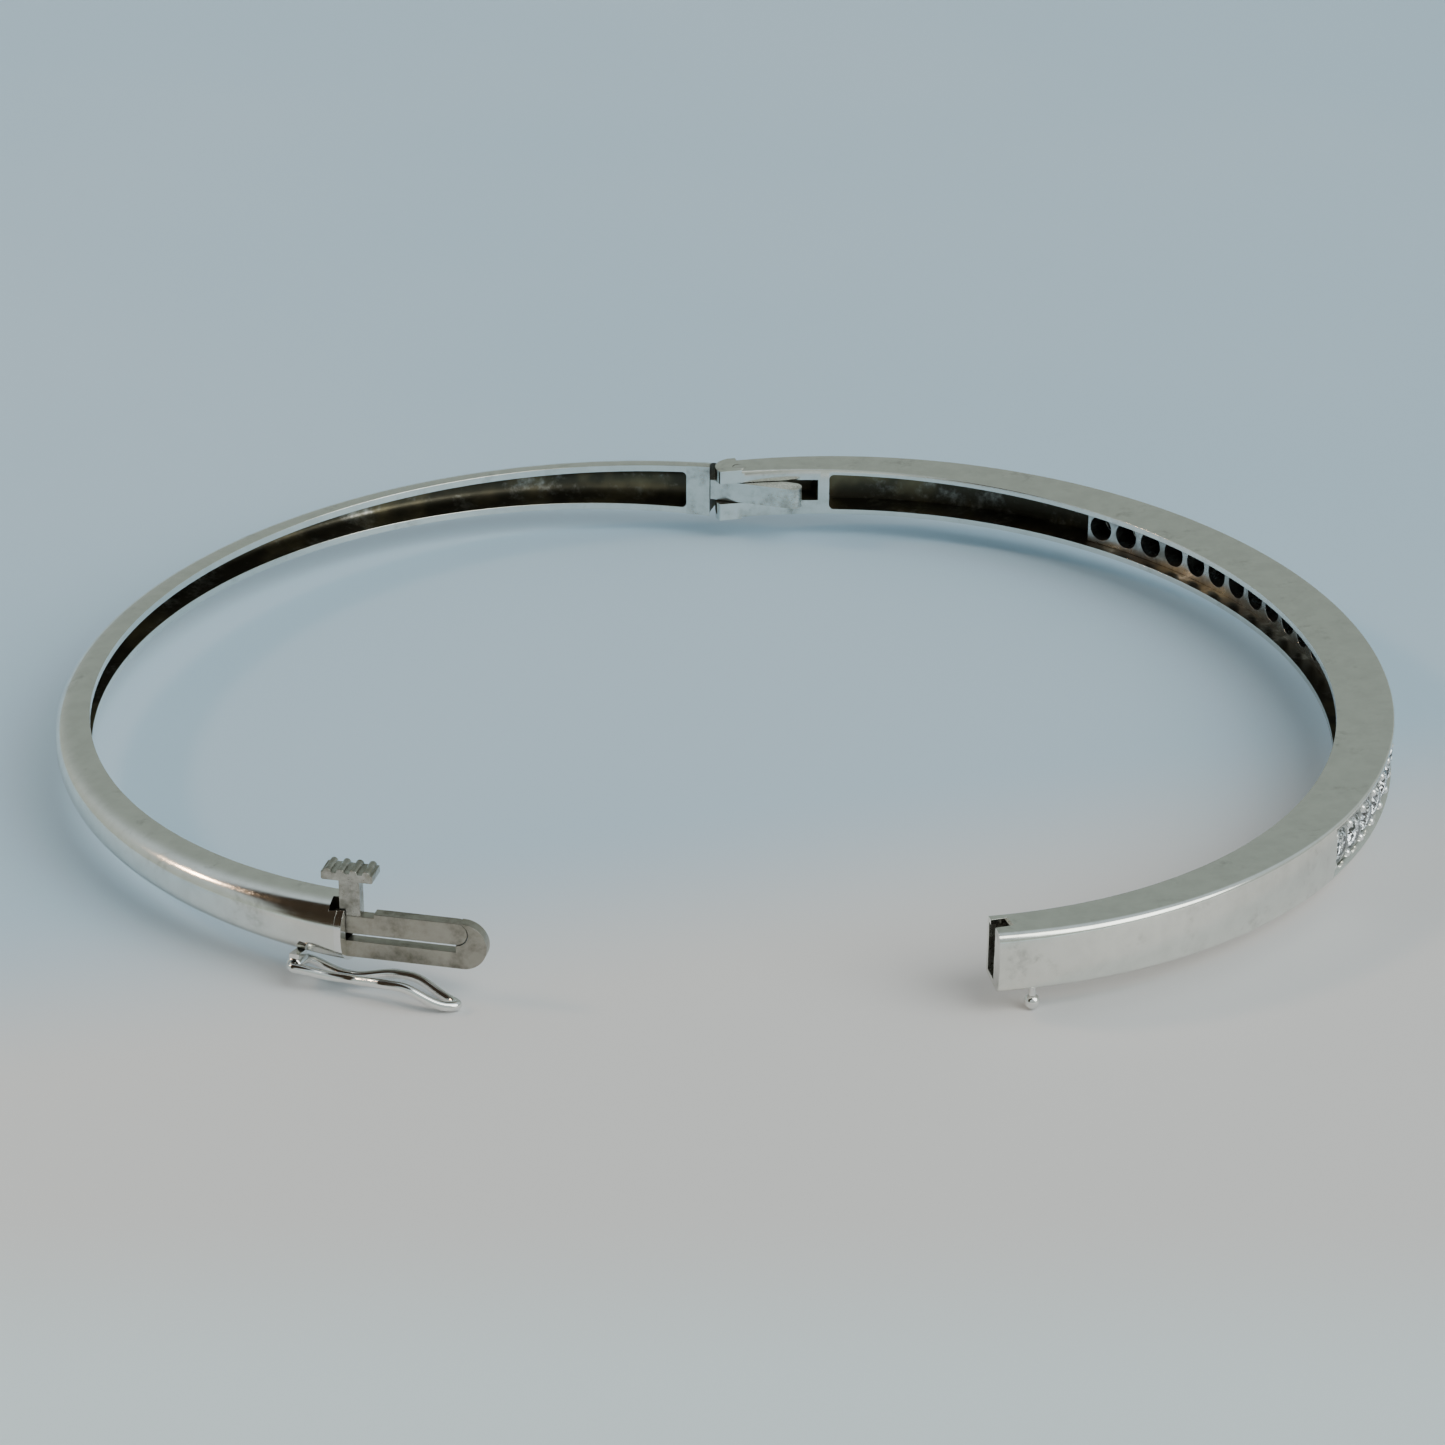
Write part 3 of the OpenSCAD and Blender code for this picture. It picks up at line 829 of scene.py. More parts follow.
def bell(s: np.ndarray) -> np.ndarray:
    """Rises from 0 at either end of a half to 1 at its middle, as sin(180 s)."""
    return np.sin(math.pi * s)


def both_halves(q: np.ndarray, z: np.ndarray) -> np.ndarray:
    """Adds the mirror image in z to the lower half of a section whose last point has z = 0."""
    low = np.stack([q, z], -1)
    return np.concatenate([low, low[:, -2::-1] * [1.0, -1.0]], 1)


@dataclass(frozen=True)
class BoxSection:
    """Section of the stone-set half: flat leaning sides, soft edges and a low crown."""

    hinge_depth: float = 2.05
    clasp_depth: float = 2.35
    swell: float = 0.9
    half_height: float = 1.6
    edge: float = 0.15
    worn_edge: float = 0.32
    lip_edge: float = 0.04
    worn_lip: float = 0.1
    crown: float = 0.1
    rim: float = 1.38
    wall: float = 0.5
    lip: float = 0.34
    trough_top: float = 1.08
    side_steps: int = 9
    arc_steps: int = 7
    rim_steps: int = 2
    face_steps: int = 9

    @property
    def rim_index(self) -> int:
        """Number of the section's point at the lower edge of the stones' opening."""
        return 2 + self.side_steps + self.arc_steps + self.rim_steps

    def depth(self, s: np.ndarray) -> np.ndarray:
        """Depth from the inner to the outer face."""
        return self.hinge_depth + (self.clasp_depth - self.hinge_depth) * s + self.swell * bell(s)

    def heights(self, s: np.ndarray) -> tuple[np.ndarray, np.ndarray]:
        """Half heights at the outer edge and at the inner face."""
        outer = self.half_height - 0.05 * bell(s)
        return outer, outer - 0.07 - 0.22 * bell(s)

    def outline(self, s: np.ndarray) -> np.ndarray:
        """The outside at each place s.

        From the inner face's lower edge a straight side leads to a quarter circle, whose radius
        grows from edge at the stones by worn_edge (1 - bell)^1.5 towards the ends. The inner
        edge is cut back by lip_edge, and by worn_lip (1 - bell)^3 more towards the ends. The
        outer face is depth + crown (1 - (z / face)^2).

        Args:
            s: places along the half.

        Returns:
            For each place, points q and z from the lower to the upper inner edge.
        """
        t = self.depth(s)[:, None]
        h, g = (v[:, None] for v in self.heights(s))
        edge = self.edge + self.worn_edge * (1 - bell(s)[:, None]) ** 1.5
        face = h - edge
        low = np.minimum(self.rim, face - 0.01)
        f = np.linspace(0, 1, self.side_steps + 1)
        a = np.linspace(-QUARTER, 0, self.arc_steps + 1)[1:]
        lip = self.lip_edge + self.worn_lip * (1 - bell(s)[:, None]) ** 3
        q = [0 * t, 0 * t + 0.3 * lip, lip + f * (t - edge - lip), t - edge + edge * np.cos(a)]
        z = [lip - g, 0.3 * lip - g, -(g + f * (h - g)), -face + edge * np.sin(a)]
        rim = -face + (face - low) * np.linspace(0, 1, self.rim_steps + 1)[1:]
        flat = -low * (1 - np.linspace(0, 1, self.face_steps + 1)[1:])
        for part in (rim, flat):
            q.append(t + self.crown * (1 - (part / face) ** 2))
            z.append(part)
        return both_halves(np.concatenate(q, 1), np.concatenate(z, 1))

    def trough(self, s: np.ndarray, fillet: np.ndarray) -> np.ndarray:
        """The channel inside, point for point with the outline.

        Its sides run straight from the lip to the outer wall's inner face, which is flat.

        Args:
            s: places along the half.
            fillet: how far the sides have come in at each place.

        Returns:
            For each place, points q and z.
        """
        t = self.depth(s)[:, None] - self.wall
        g = (self.heights(s)[1] - self.lip - fillet)[:, None]
        top = self.trough_top - fillet[:, None]
        f = np.linspace(0, 1, self.rim_index + 1)
        f = 1 - (1 - f) ** 1.6
        flat = top * (1 - np.linspace(0, 1, self.face_steps + 1)[1:])
        q = np.concatenate([f * t, t + 0 * flat], 1)
        z = np.concatenate([-(g + f * (top - g)), -flat], 1)
        return both_halves(q, z)


@dataclass(frozen=True)
class TongueSection:
    """Section of the plain half: a squarish half round, flat towards the wrist."""

    depth_end: float = 2.045
    hinge_height: float = 3.3
    clasp_height: float = 3.4
    dip: float = 1.4
    wall: float = 0.42
    squareness: float = 0.77
    steps: int = 44

    def sizes(self, s: np.ndarray) -> tuple[np.ndarray, np.ndarray]:
        """Depth and half height at each place."""
        height = self.hinge_height + (self.clasp_height - self.hinge_height) * s
        return self.depth_end - 0.2 * bell(s), (height - self.dip * bell(s)) / 2

    def rounded(self, depth: np.ndarray, half: np.ndarray) -> np.ndarray:
        """The half round: q = depth cos(a)^c, z = half sin(a)^c, with the sign of the sine.

        Args:
            depth: depth at each place.
            half: half height at each place.

        Returns:
            For each place, points q and z for a from -90 to 90 degrees.
        """
        u = np.linspace(-1, 1, self.steps + 1)
        a = QUARTER * np.sign(u) * np.abs(u) ** 0.9
        c = np.clip(np.cos(a), 0, 1) ** self.squareness
        k = np.sign(a) * np.abs(np.sin(a)) ** self.squareness
        return np.stack([depth[:, None] * c, half[:, None] * k], -1)

    def outline(self, s: np.ndarray) -> np.ndarray:
        """The outside at each place."""
        return self.rounded(*self.sizes(s))

    def trough(self, s: np.ndarray, fillet: np.ndarray) -> np.ndarray:
        """The channel inside, one wall and the corners' fillet in from the outline."""
        depth, half = self.sizes(s)
        return self.rounded(depth - self.wall, half - self.wall - fillet)


def channel(oval: Oval, s: np.ndarray, outline: np.ndarray, trough: np.ndarray,
            window: tuple[int, int, int] | None = None) -> Surface:
    """A channel open to the wrist: outline and trough carried along the oval and joined.

    Args:
        oval: the path.
        s: places along it.
        outline: the outside's points at each place.
        trough: the inside's points, as many as the outline's and in the same order.
        window: the first and last place, and the section's point at the lower edge, of an
            opening through the outer wall.

    Returns:
        The channel, with recess 1 on the trough's faces and 0 on all others; the recess paints shade into
        the trough.
    """
    rings = oval.carried(s, np.concatenate([outline, trough[:, ::-1]], 1))
    n, m = rings.shape[:2]
    half = m // 2
    quads = ring_quads(n, m)
    keep = np.ones((n - 1, m), bool)
    deep = np.zeros((n - 1, m))
    deep[:, half:m - 1] = 1
    j = np.arange(half - 1)
    across = np.stack([j, j + 1, m - 2 - j, m - 1 - j], -1)
    extra = [across, across + (n - 1) * m]
    if window:
        first, last, low = window
        high = half - 1 - low
        keep[first:last, low:high] = False
        keep[first:last, m - 1 - high:m - 1 - low] = False
        extra += [across[low:high] + k * m for k in (first, last)]
        k = np.arange(first, last) * m
        for e in (low, high):
            extra.append(np.stack([k + e, k + m + e, k + 2 * m - 1 - e, k + m - 1 - e], -1))
    faces = np.concatenate([quads[keep], *extra])
    recess = np.concatenate([deep[keep], np.zeros(len(faces) - keep.sum())])
    return Surface(rings.reshape(-1, 3), faces.tolist(), recess)


# ---------------------------------------------------------------- stone-set half


@dataclass(frozen=True)
class BrilliantCut:
    """A round stone cut with a table, a crown of stars and kites, and a pointed pavilion."""

    radius: float
    table: float = 0.56
    star: float = 0.74
    table_z: float = 0.3
    girdle_z: tuple[float, float] = (0.02, -0.04)
    lower: float = 0.25
    culet: float = -0.86

    def surface(self) -> Surface:
        """Builds the stone about its own Z, with recess 1 on the 24 facets under its girdle.

        Rings of 8 table, 8 star, 16 + 16 girdle and 8 lower points stand at multiples of 45 or
        22.5 degrees. The star and lower points' heights put each kite facet in one plane.

        Returns:
            The stone's surface, with its table up.
        """
        k, j = np.arange(8), np.arange(16)
        slant = math.cos(math.pi / 8)
        star_z = self.table_z + (self.star * slant - self.table) / (1 - self.table) * (
            self.girdle_z[0] - self.table_z)
        lower_z = self.culet + self.lower * slant * (self.girdle_z[1] - self.culet)
        rings = [(self.table, self.table_z, k * 45), (self.star, star_z, k * 45 + 22.5),
                 (1.0, self.girdle_z[0], j * 22.5), (1.0, self.girdle_z[1], j * 22.5),
                 (self.lower, lower_z, k * 45 + 22.5), (0.0, self.culet, np.zeros(1))]
        points = np.concatenate([
            np.column_stack([r * np.cos(np.radians(a)), r * np.sin(np.radians(a)), z + 0 * a])
            for r, z, a in rings])
        table, star, top, bottom, lower, tip = 0, 8, 16, 32, 48, 56
        nxt, before = (k + 1) % 8, (k - 1) % 8
        g = [(2 * k + i) % 16 for i in range(3)]
        faces = [[int(v) for v in k]]
        for cols in ((table + k, table + nxt, star + k), (table + k, star + k, top + g[0],
                     star + before), (star + k, top + g[0], top + g[1]),
                     (star + k, top + g[1], top + g[2]),
                     (top + j, bottom + j, bottom + (j + 1) % 16, top + (j + 1) % 16),
                     (lower + k, bottom + g[0], bottom + g[1]),
                     (lower + k, bottom + g[1], bottom + g[2]),
                     (tip + 0 * k, lower + before, bottom + g[0], lower + k)):
            faces += np.stack(cols, -1).tolist()
        under = np.arange(len(faces)) >= len(faces) - 24
        return Surface(points * self.radius, faces, under.astype(float))


@dataclass
class BoxHalf:
    """The stone-set half: shell, setting, hinge fork with its pin, and the clasp's box."""

    oval: Oval
    finishes: Finishes
    section: BoxSection = field(default_factory=BoxSection)
    stones: int = 25
    setting_share: float = 0.504
    setting_shift: float = 0.013
    stone_gap: float = 0.16
    bead_radius: float = 0.24
    bead_out: float = 0.84
    plate_sunk: float = 0.2
    stone_sunk: float = 0.1
    plate_inner: float = 0.8
    plate_deeper: float = 0.85
    plate_steps: int = 1201
    corner: float = 0.3
    fork_length: float = 5.4
    box_length: float = 8.0
    past_end: float = 0.3
    ear_radius: float = 1.45
    pin_radius: float = 0.38
    pin_gap: float = 0.01
    slot_z: tuple[float, float] = (1.06, 2.39)
    slot_open: float = 1.2
    slot_length: float = 4.7
    slot_depth: float = 0.62
    peg_x: float = 1.6
    peg_out: float = 1.6
    peg_z: float = -0.95
    peg_radius: float = 0.4
    neck_radius: float = 0.18

    def build(self) -> None:
        """Makes every piece of the half."""
        self._shell()
        self._fork()
        self._snap_box()
        self._peg()
        self._plate()
        self._stones_and_beads()

    @property
    def setting(self) -> tuple[float, float]:
        """Where the stones start and stop along the half."""
        half = self.setting_share / 2
        return 0.5 - half + self.setting_shift, 0.5 + half + self.setting_shift

    def _shell(self) -> None:
        """The hollow channel with its long opening for the stones."""
        start, stop = self.setting
        ends = self.oval.share(self.fork_length), 1 - self.oval.share(self.box_length)
        s = self.oval.stations(np.concatenate([
            np.linspace(ends[0], start, 70, endpoint=False),
            np.linspace(start, stop, 170, endpoint=False),
            np.linspace(stop, ends[1], 46)]), self.corner)
        window = (*np.searchsorted(s, [start - 1e-9, stop - 1e-9]), self.section.rim_index)
        trough = self.section.trough(s, self.oval.fillet(s, self.corner))
        shell = channel(self.oval, s, self.section.outline(s), trough, window)
        add_piece("stone_set_shell", as_mesh("stone_set_shell", shell.moved(BOX_SIDE)),
                  Body.BOX, self.finishes.polished, ["box_half_shell"],
                  Softening(0.025, 2, 30.0), [self.oval.seam(v, BOX_SIDE) for v in ends])

    def _bar(self, start: float, stop: float, count: int) -> Surface:
        """A solid length of the band's outline."""
        s = np.linspace(start, stop, count)
        return loft(self.oval.carried(s, self.section.outline(s)))

    def _fork(self) -> None:
        """Two ears and the block behind them, with the slot for the knuckle, and the pin."""
        bar = self._bar(0.0, self.oval.share(self.fork_length), 24)
        inner, outer = -self.oval.pin_inset, self.section.hinge_depth - self.oval.pin_inset
        r = self.ear_radius
        a0 = 180 - math.degrees(math.asin(outer / r))
        a1 = 180 + math.degrees(math.asin(-inner / r))
        ear = np.vstack([[0.05, outer], arc((0, 0), r, a0, a1, 30), [0.05, inner]])
        low, high = self.slot_z
        slot = block((-3, -3, low), (self.slot_open, 3, high))
        inside = block((0, -4, low), (self.slot_length, self.slot_depth, high))
        mesh = carved("hinge_fork_piece", bar.moved(BOX_SIDE),
                      (Cut.JOIN, prism(ear, 0, 2 * self.oval.middle).moved(BOX_SIDE), 0.0),
                      (Cut.REMOVE, slot.moved(BOX_SIDE), 0.9),
                      (Cut.REMOVE, inside.moved(BOX_SIDE), 0.9),
                      (Cut.REMOVE, post(self.pin_radius + self.pin_gap), 1.0))
        add_piece("hinge_fork_piece", mesh, Body.BOX, self.finishes.ends,
                  ["hinge_fork"], Softening(0.035),
                  [self.oval.seam(self.oval.share(self.fork_length), BOX_SIDE)])
        top, r = 2 * self.oval.middle, self.pin_radius
        pin = lathe(np.array([[0, 0], [r - 0.06, 0.0], [r - 0.015, 0.02], [r, 0.06],
                              [r, top - 0.06], [r - 0.015, top - 0.02], [r - 0.06, top],
                              [0, top]]))
        add_piece("hinge_pin_piece", as_mesh("hinge_pin_piece", pin), Body.BOX,
                  self.finishes.hinge, ["hinge_pin"])

    def _snap_box(self) -> None:
        """The hollow end, its room for the tongue and the notch for the thumb piece's stem."""
        start, stop = 1 - self.oval.share(self.box_length), 1 + self.oval.share(self.past_end)
        clasp = Clasp(self.oval)
        mesh = carved("clasp_box", self._bar(start, stop, 40).moved(BOX_SIDE),
                      (Cut.REMOVE, clasp.room().moved(BOX_SIDE), 0.6),
                      (Cut.REMOVE, clasp.stem_notch().moved(BOX_SIDE), 0.1))
        add_piece("clasp_box", mesh, Body.BOX, self.finishes.polished,
                  ["snap_box"], Softening(0.07, 3), [self.oval.seam(start, BOX_SIDE)])

    def _peg(self) -> None:
        """The ball on its neck, turned from one profile with a fillet under the band."""
        start = math.degrees(math.acos(self.neck_radius / self.peg_radius))
        sphere = arc((0, self.peg_z), self.peg_radius, -90, start, 24)
        sphere[0, 0] = 0.0
        neck = np.array([[self.neck_radius, -0.2], [self.neck_radius + 0.03, -0.08],
                         [self.neck_radius + 0.12, 0.0], [self.neck_radius + 0.12, 0.1],
                         [0.0, 0.1]])
        peg = lathe(np.vstack([sphere, neck])).moved(
            BOX_SIDE @ shift(self.peg_x, self.oval.clasp_y - self.peg_out, 0))
        add_piece("catch_peg", as_mesh("catch_peg", peg), Body.BOX,
                  self.finishes.wire, ["ball_peg"])

    def _plate(self) -> None:
        """The drilled plate: the frame's own solid, thicker towards the wrist, edges softened.

        Every point more than plate_inner from the plate's outer face is moved inwards by
        plate_deeper, square to the oval.
        """
        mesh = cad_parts["stone_plate"].data.copy()
        clean(mesh)
        points = values(mesh.vertices, "co", 3) / MM
        s = np.linspace(0, 1, self.plate_steps)
        line = self.oval.plan(s, self.section.depth(s) - self.plate_sunk)
        apart = np.linalg.norm((points[:, :2] @ BOX_SIDE[:2, :2])[:, None] - line[None], axis=2)
        near, inner = s[apart.argmin(1)], apart.min(1) > self.plate_inner
        inwards = (self.oval.plan(near, 0 * near) - self.oval.plan(near, 0 * near + 1)
                   ) * inner[:, None]
        points[:, :2] += self.plate_deeper * inwards @ BOX_SIDE[:2, :2].T
        mesh.vertices.foreach_set("co", (points * MM).astype(np.float32).ravel())
        add_piece("setting_plate", mesh, Body.BOX, self.finishes.setting,
                  ["stone_plate"], Softening(0.02, 1, 30.0))

    def _seats(self) -> tuple[np.ndarray, np.ndarray]:
        """Ways along the plate's outer face and the places s that they stand for."""
        s = np.linspace(*self.setting, 241)
        path = self.oval.plan(s, self.section.depth(s) - self.plate_sunk)
        steps = np.linalg.norm(np.diff(path, axis=0), axis=1)
        return np.concatenate([[0.0], np.cumsum(steps)]), s

    def _on_plate(self, way: float, sunk: float) -> np.ndarray:
        """Matrix that stands a stone's own Z on the plate's outer face, pointing out."""
        ways, s = self._seats()
        here = np.array([np.interp(way, ways, s)])
        depth = self.section.depth(here) - self.plate_sunk - sunk
        foot = self.oval.plan(here, depth)[0]
        out = np.append(self.oval.plan(here, depth + 1)[0] - foot, 0.0)
        m = np.eye(4)
        m[:3, 0], m[:3, 1], m[:3, 2] = [0, 0, -1], np.cross(out, [0, 0, -1]), out
        m[:3, 3] = [*foot, self.oval.middle]
        return BOX_SIDE @ m

    def _stones_and_beads(self) -> None:
        """The row of stones, and two beads at each meeting of stones."""
        length = self._seats()[0][-1]
        pitch = length / self.stones
        cut = BrilliantCut((pitch - self.stone_gap) / 2).surface()
        for i in range(self.stones):
            name = f"stone_{i + 1:02d}"
            turned = cut.moved(turn_z(22.5 * ((i * 7) % 5) / 5))
            mesh = as_mesh(f"{name}_cut", turned.moved(
                self._on_plate((i + 0.5) * pitch, self.stone_sunk)))
            add_piece(f"{name}_cut", mesh, Body.BOX, self.finishes.stone, [name])
            mesh.polygons.foreach_set("use_smooth", np.zeros(len(mesh.polygons), bool))
            mesh.materials.append(self.finishes.pavilion)
            under = values(mesh.attributes["recess"].data, "value")
            mesh.polygons.foreach_set("material_index", under.astype(int))
        beads = None
        for i in range(self.stones + 1):
            way = max(self.bead_radius, min(i * pitch, length - self.bead_radius))
            for side in (-1, 1):
                bead = ball((side * self.bead_out, 0, 0), self.bead_radius, 14)
                bead = bead.moved(self._on_plate(way, 0.0))
                beads = bead if beads is None else beads.with_other(bead)
        add_piece("bead_grains", as_mesh("bead_grains", beads), Body.BOX,
                  self.finishes.bead, ["setting_beads"])


# ---------------------------------------------------------------- clasp


@dataclass(frozen=True)
class Clasp:
    """Sizes that the tongue and the box share, along the tongue from the plain half's end."""

    oval: Oval
    short: float = 1.06
    past_end: float = 0.3
    gap: float = 0.03
    root_out: float = 0.99
    turn: float = 5.0
    reach: float = 6.95
    height: float = 2.45
    thickness: float = 0.62
    box_gap: float = 0.07
    inner_radius: float = 58.93
    slit: float = 0.4
    leaf_low: float = 0.05
    pivot_x: float = 5.4
    run_gap: float = 0.04
    notch: float = 0.2
    notch_end: float = 1.3
    leaf_root: float = -0.8
    root_depth: float = 0.1
    stem: tuple[float, float] = (-0.4, 0.65)
    stem_gap: float = 0.12
    pad_length: float = 2.6
    pad_width: float = 1.25
    pad_lift: float = 3.05
    pad_base: float = 0.42
    ridge: float = 0.2

    @property
    def frame(self) -> np.ndarray:
        """The tongue's own frame: +X along it, +Y towards the wrist, +Z up from its middle."""
        return shift(-self.short - self.gap, self.oval.clasp_y - self.root_out,
                     self.oval.middle) @ turn_z(self.turn)

    @property
    def closed(self) -> np.ndarray:
        """The same frame once the band is shut, as the box sees it."""
        more = math.asin((self.short - self.past_end) / -self.oval.clasp_y)
        return turn_z(math.degrees(more)) @ self.frame

    @property
    def leaf_radius(self) -> float:
        """Radius of the moving leaf's round end."""
        return (self.height / 2 - self.leaf_low) / 2

    def room(self) -> Surface:
        """The room in the box, bounded by the tongue's outer face and by a circle.

        Along x, its inner side is where the line across the tongue meets the circle of
        inner_radius about the pin: y = -b - sqrt(b^2 - c), with b the dot product of the line's
        foot and direction, and c the foot's distance squared less the radius squared.

        Returns:
            The room as a solid to be cut out, in the box half's closed place.
        """
        side = self.thickness / 2 + self.box_gap
        x = np.linspace(self.reach + 0.3, -1, 30)
        m = self.closed
        foot = m[:2, 3] + x[:, None] * m[:2, 0]
        b = foot @ m[:2, 1]
        y = -b - np.sqrt(b ** 2 - ((foot ** 2).sum(1) - self.inner_radius ** 2))
        outline = np.vstack([[-1, -side], [self.reach + 0.3, -side], np.column_stack([x, y])])
        half = self.height / 2 + 0.06
        return prism(outline, -half, half).moved(m)

    def stem_notch(self) -> Surface:
        """The notch in the box's top, as a solid to be cut out."""
        side = self.thickness / 2 + self.stem_gap
        return block((-1, -side, 0), (self.stem[1] + 0.25, side, 3)).moved(self.closed)

    def leaf_slot(self) -> Surface:
        """The slot in the plain half's end for the moving leaf and the stem."""
        side = self.thickness / 2 + self.stem_gap
        low = self.leaf_low - self.slit
        return block((self.leaf_root - 0.12, -side, low), (1.2, side, 3)).moved(self.frame)

    def _sheet(self, outline: np.ndarray) -> Surface:
        """An outline of length and height carried across the tongue's thickness."""
        half = self.thickness / 2
        return prism(outline, -half, half).moved(TONGUE_SIDE @ self.frame @ stood_up())

    def fixed_leaf(self) -> Surface:
        """The lower leaf and the round nose, hollowed where the moving leaf turns.

        Returns:
            The leaf's surface: straight sides, a half circle at the nose, and the bore's arc.
        """
        half = self.height / 2
        nose_x = self.reach - half
        centre = (self.pivot_x, (half + self.leaf_low) / 2)
        bore = self.leaf_radius + self.run_gap
        top = math.degrees(math.asin((half - centre[1]) / bore))
        slit_z = self.leaf_low - self.slit
        outline = np.vstack([
            [-self.root_depth, slit_z], [-self.root_depth, -half],
            arc((nose_x, 0), half, -90, 90, 40), arc(centre, bore, top, -90, 30),
            [self.pivot_x, slit_z]])
        return self._sheet(outline)

    def moving_leaf(self) -> Surface:
        """The upper leaf, with its step near the root and its round end."""
        half = self.height / 2
        centre = (self.pivot_x, (half + self.leaf_low) / 2)
        outline = np.vstack([
            [self.leaf_root, self.leaf_low], arc(centre, self.leaf_radius, -90, 90, 30),
            [self.notch_end, half], [self.notch_end, half - self.notch],
            [self.leaf_root, half - self.notch]])
        return self._sheet(outline)

    def thumb_piece(self) -> Surface:
        """The stem, and the pad whose top is a row of half circles.

        Returns:
            Both as one surface.
        """
        half = self.thickness / 2
        stem = block((self.stem[0], -half, self.height / 2 - self.notch),
                     (self.stem[1], half, self.pad_lift + 0.05))
        pitch = self.pad_length / 4
        ridges = [arc(((i + 0.5) * pitch, self.pad_base), self.ridge, 0, 180, 14)
                  for i in (3, 2, 1, 0)]
        low = 0.06
        outline = np.vstack([[low, 0], [self.pad_length - low, 0], [self.pad_length, low],
                             [self.pad_length, self.pad_base], *ridges,
                             [0, self.pad_base], [0, low]])
        middle = (self.stem[0] + self.stem[1] - self.pad_length) / 2
        pad = prism(outline, -self.pad_width / 2, self.pad_width / 2).moved(
            stood_up(middle, self.pad_lift))
        return stem.with_other(pad).moved(TONGUE_SIDE @ self.frame)


# ---------------------------------------------------------------- plain half


@dataclass
class TongueHalf:
    """The plain half: shell, hinge knuckle, closed end, tongue, leaf and thumb piece."""

    oval: Oval
    finishes: Finishes
    section: TongueSection = field(default_factory=TongueSection)
    corner: float = 0.3
    knuckle_length: float = 3.1
    block_length: float = 1.1
    plate_length: float = 0.38
    knuckle_z: tuple[float, float] = (1.1, 2.35)
    knuckle_radius: float = 1.2
    arm: tuple[float, float] = (-0.61, 0.5)
    arm_reach: float = 4.0
    root: tuple[float, float] = (-1.95, 0.9)
    root_turn: float = 131.4
    socket_radius: float = 1.8
    pin_bore: float = 0.42

    def build(self) -> None:
        """Makes every piece of the half, and the leaf that moves in it."""
        self._shell()
        self._knuckle()
        self._end()
        self._tongue()

    def _shell(self) -> None:
        """The hollow, tapering channel."""
        clasp = Clasp(self.oval)
        stop = 1 - self.oval.share(clasp.short + self.block_length)
        ends = self.oval.share(self.knuckle_length), stop
        s = self.oval.stations(np.linspace(*ends, 260), self.corner)
        trough = self.section.trough(s, self.oval.fillet(s, self.corner))
        shell = channel(self.oval, s, self.section.outline(s), trough)
        add_piece("plain_shell", as_mesh("plain_shell", shell.moved(TONGUE_BAND)),
                  Body.TONGUE, self.finishes.polished, ["tongue_half_shell"],
                  Softening(0.03, 2, 35.0), [self.oval.seam(v, TONGUE_BAND) for v in ends])

    def _bar(self, start: float, stop: float, count: int) -> Surface:
        """A solid length of the half's outline."""
        s = np.linspace(start, stop, count)
        return loft(self.oval.carried(s, self.section.outline(s))).moved(TONGUE_BAND)

    def _knuckle(self) -> None:
        """The hollowed block, the middle knuckle and its long arm as one outline."""
        low, high = self.arm
        r = self.knuckle_radius
        tip = self.arm_reach - (high - low) / 2
        outline = np.vstack([
            [self.root[0], low], arc((tip, (high + low) / 2), (high - low) / 2, -90, 90, 20),
            arc((0, 0), r, math.degrees(math.asin(high / r)), self.root_turn, 24), self.root])
        knuckle = prism(outline, *self.knuckle_z).moved(TONGUE_SIDE)
        mesh = carved("hinge_knuckle_piece",
                      self._bar(0.0, self.oval.share(self.knuckle_length), 16),
                      (Cut.REMOVE, post(self.socket_radius, 72), 1.0),
                      (Cut.JOIN, knuckle, 0.0), (Cut.REMOVE, post(self.pin_bore), 1.0))
        add_piece("hinge_knuckle_piece", mesh, Body.TONGUE,
                  self.finishes.hinge, ["hinge_knuckle"], Softening(0.035),
                  [self.oval.seam(self.oval.share(self.knuckle_length), TONGUE_BAND)])

    def _end(self) -> None:
        """The closed end and its bright end plate."""
        clasp = Clasp(self.oval)
        lengths = (clasp.short + self.block_length, clasp.short + self.plate_length,
                   clasp.short + clasp.gap)
        for name, node, finish, start, stop in (
                ("closed_end", "end_block", self.finishes.polished, lengths[0], lengths[1]),
                ("end_plate_piece", "end_plate", self.finishes.wire, lengths[1], lengths[2])):
            bar = self._bar(1 - self.oval.share(start), 1 - self.oval.share(stop), 8)
            mesh = carved(name, bar, (Cut.REMOVE, clasp.leaf_slot().moved(TONGUE_SIDE), 0.9))
            add_piece(name, mesh, Body.TONGUE, finish, [node], Softening(0.025),
                      [self.oval.seam(1 - self.oval.share(lengths[0]), TONGUE_BAND)])

    def _tongue(self) -> None:
        """The two leaves of the tongue and the thumb piece."""
        clasp = Clasp(self.oval)
        soft = Softening(0.05, 3)
        add_piece("tongue_fixed_leaf", as_mesh("tongue_fixed_leaf", clasp.fixed_leaf()),
                  Body.TONGUE, self.finishes.tongue, ["snap_tongue"], soft)
        add_piece("tongue_moving_leaf", as_mesh("tongue_moving_leaf", clasp.moving_leaf()),
                  Body.LEAF, self.finishes.tongue, ["spring_leaf"], soft)
        add_piece("thumb_piece_pad", as_mesh("thumb_piece_pad", clasp.thumb_piece()),
                  Body.LEAF, self.finishes.thumb, ["thumb_piece"],
                  Softening(0.02, 2))


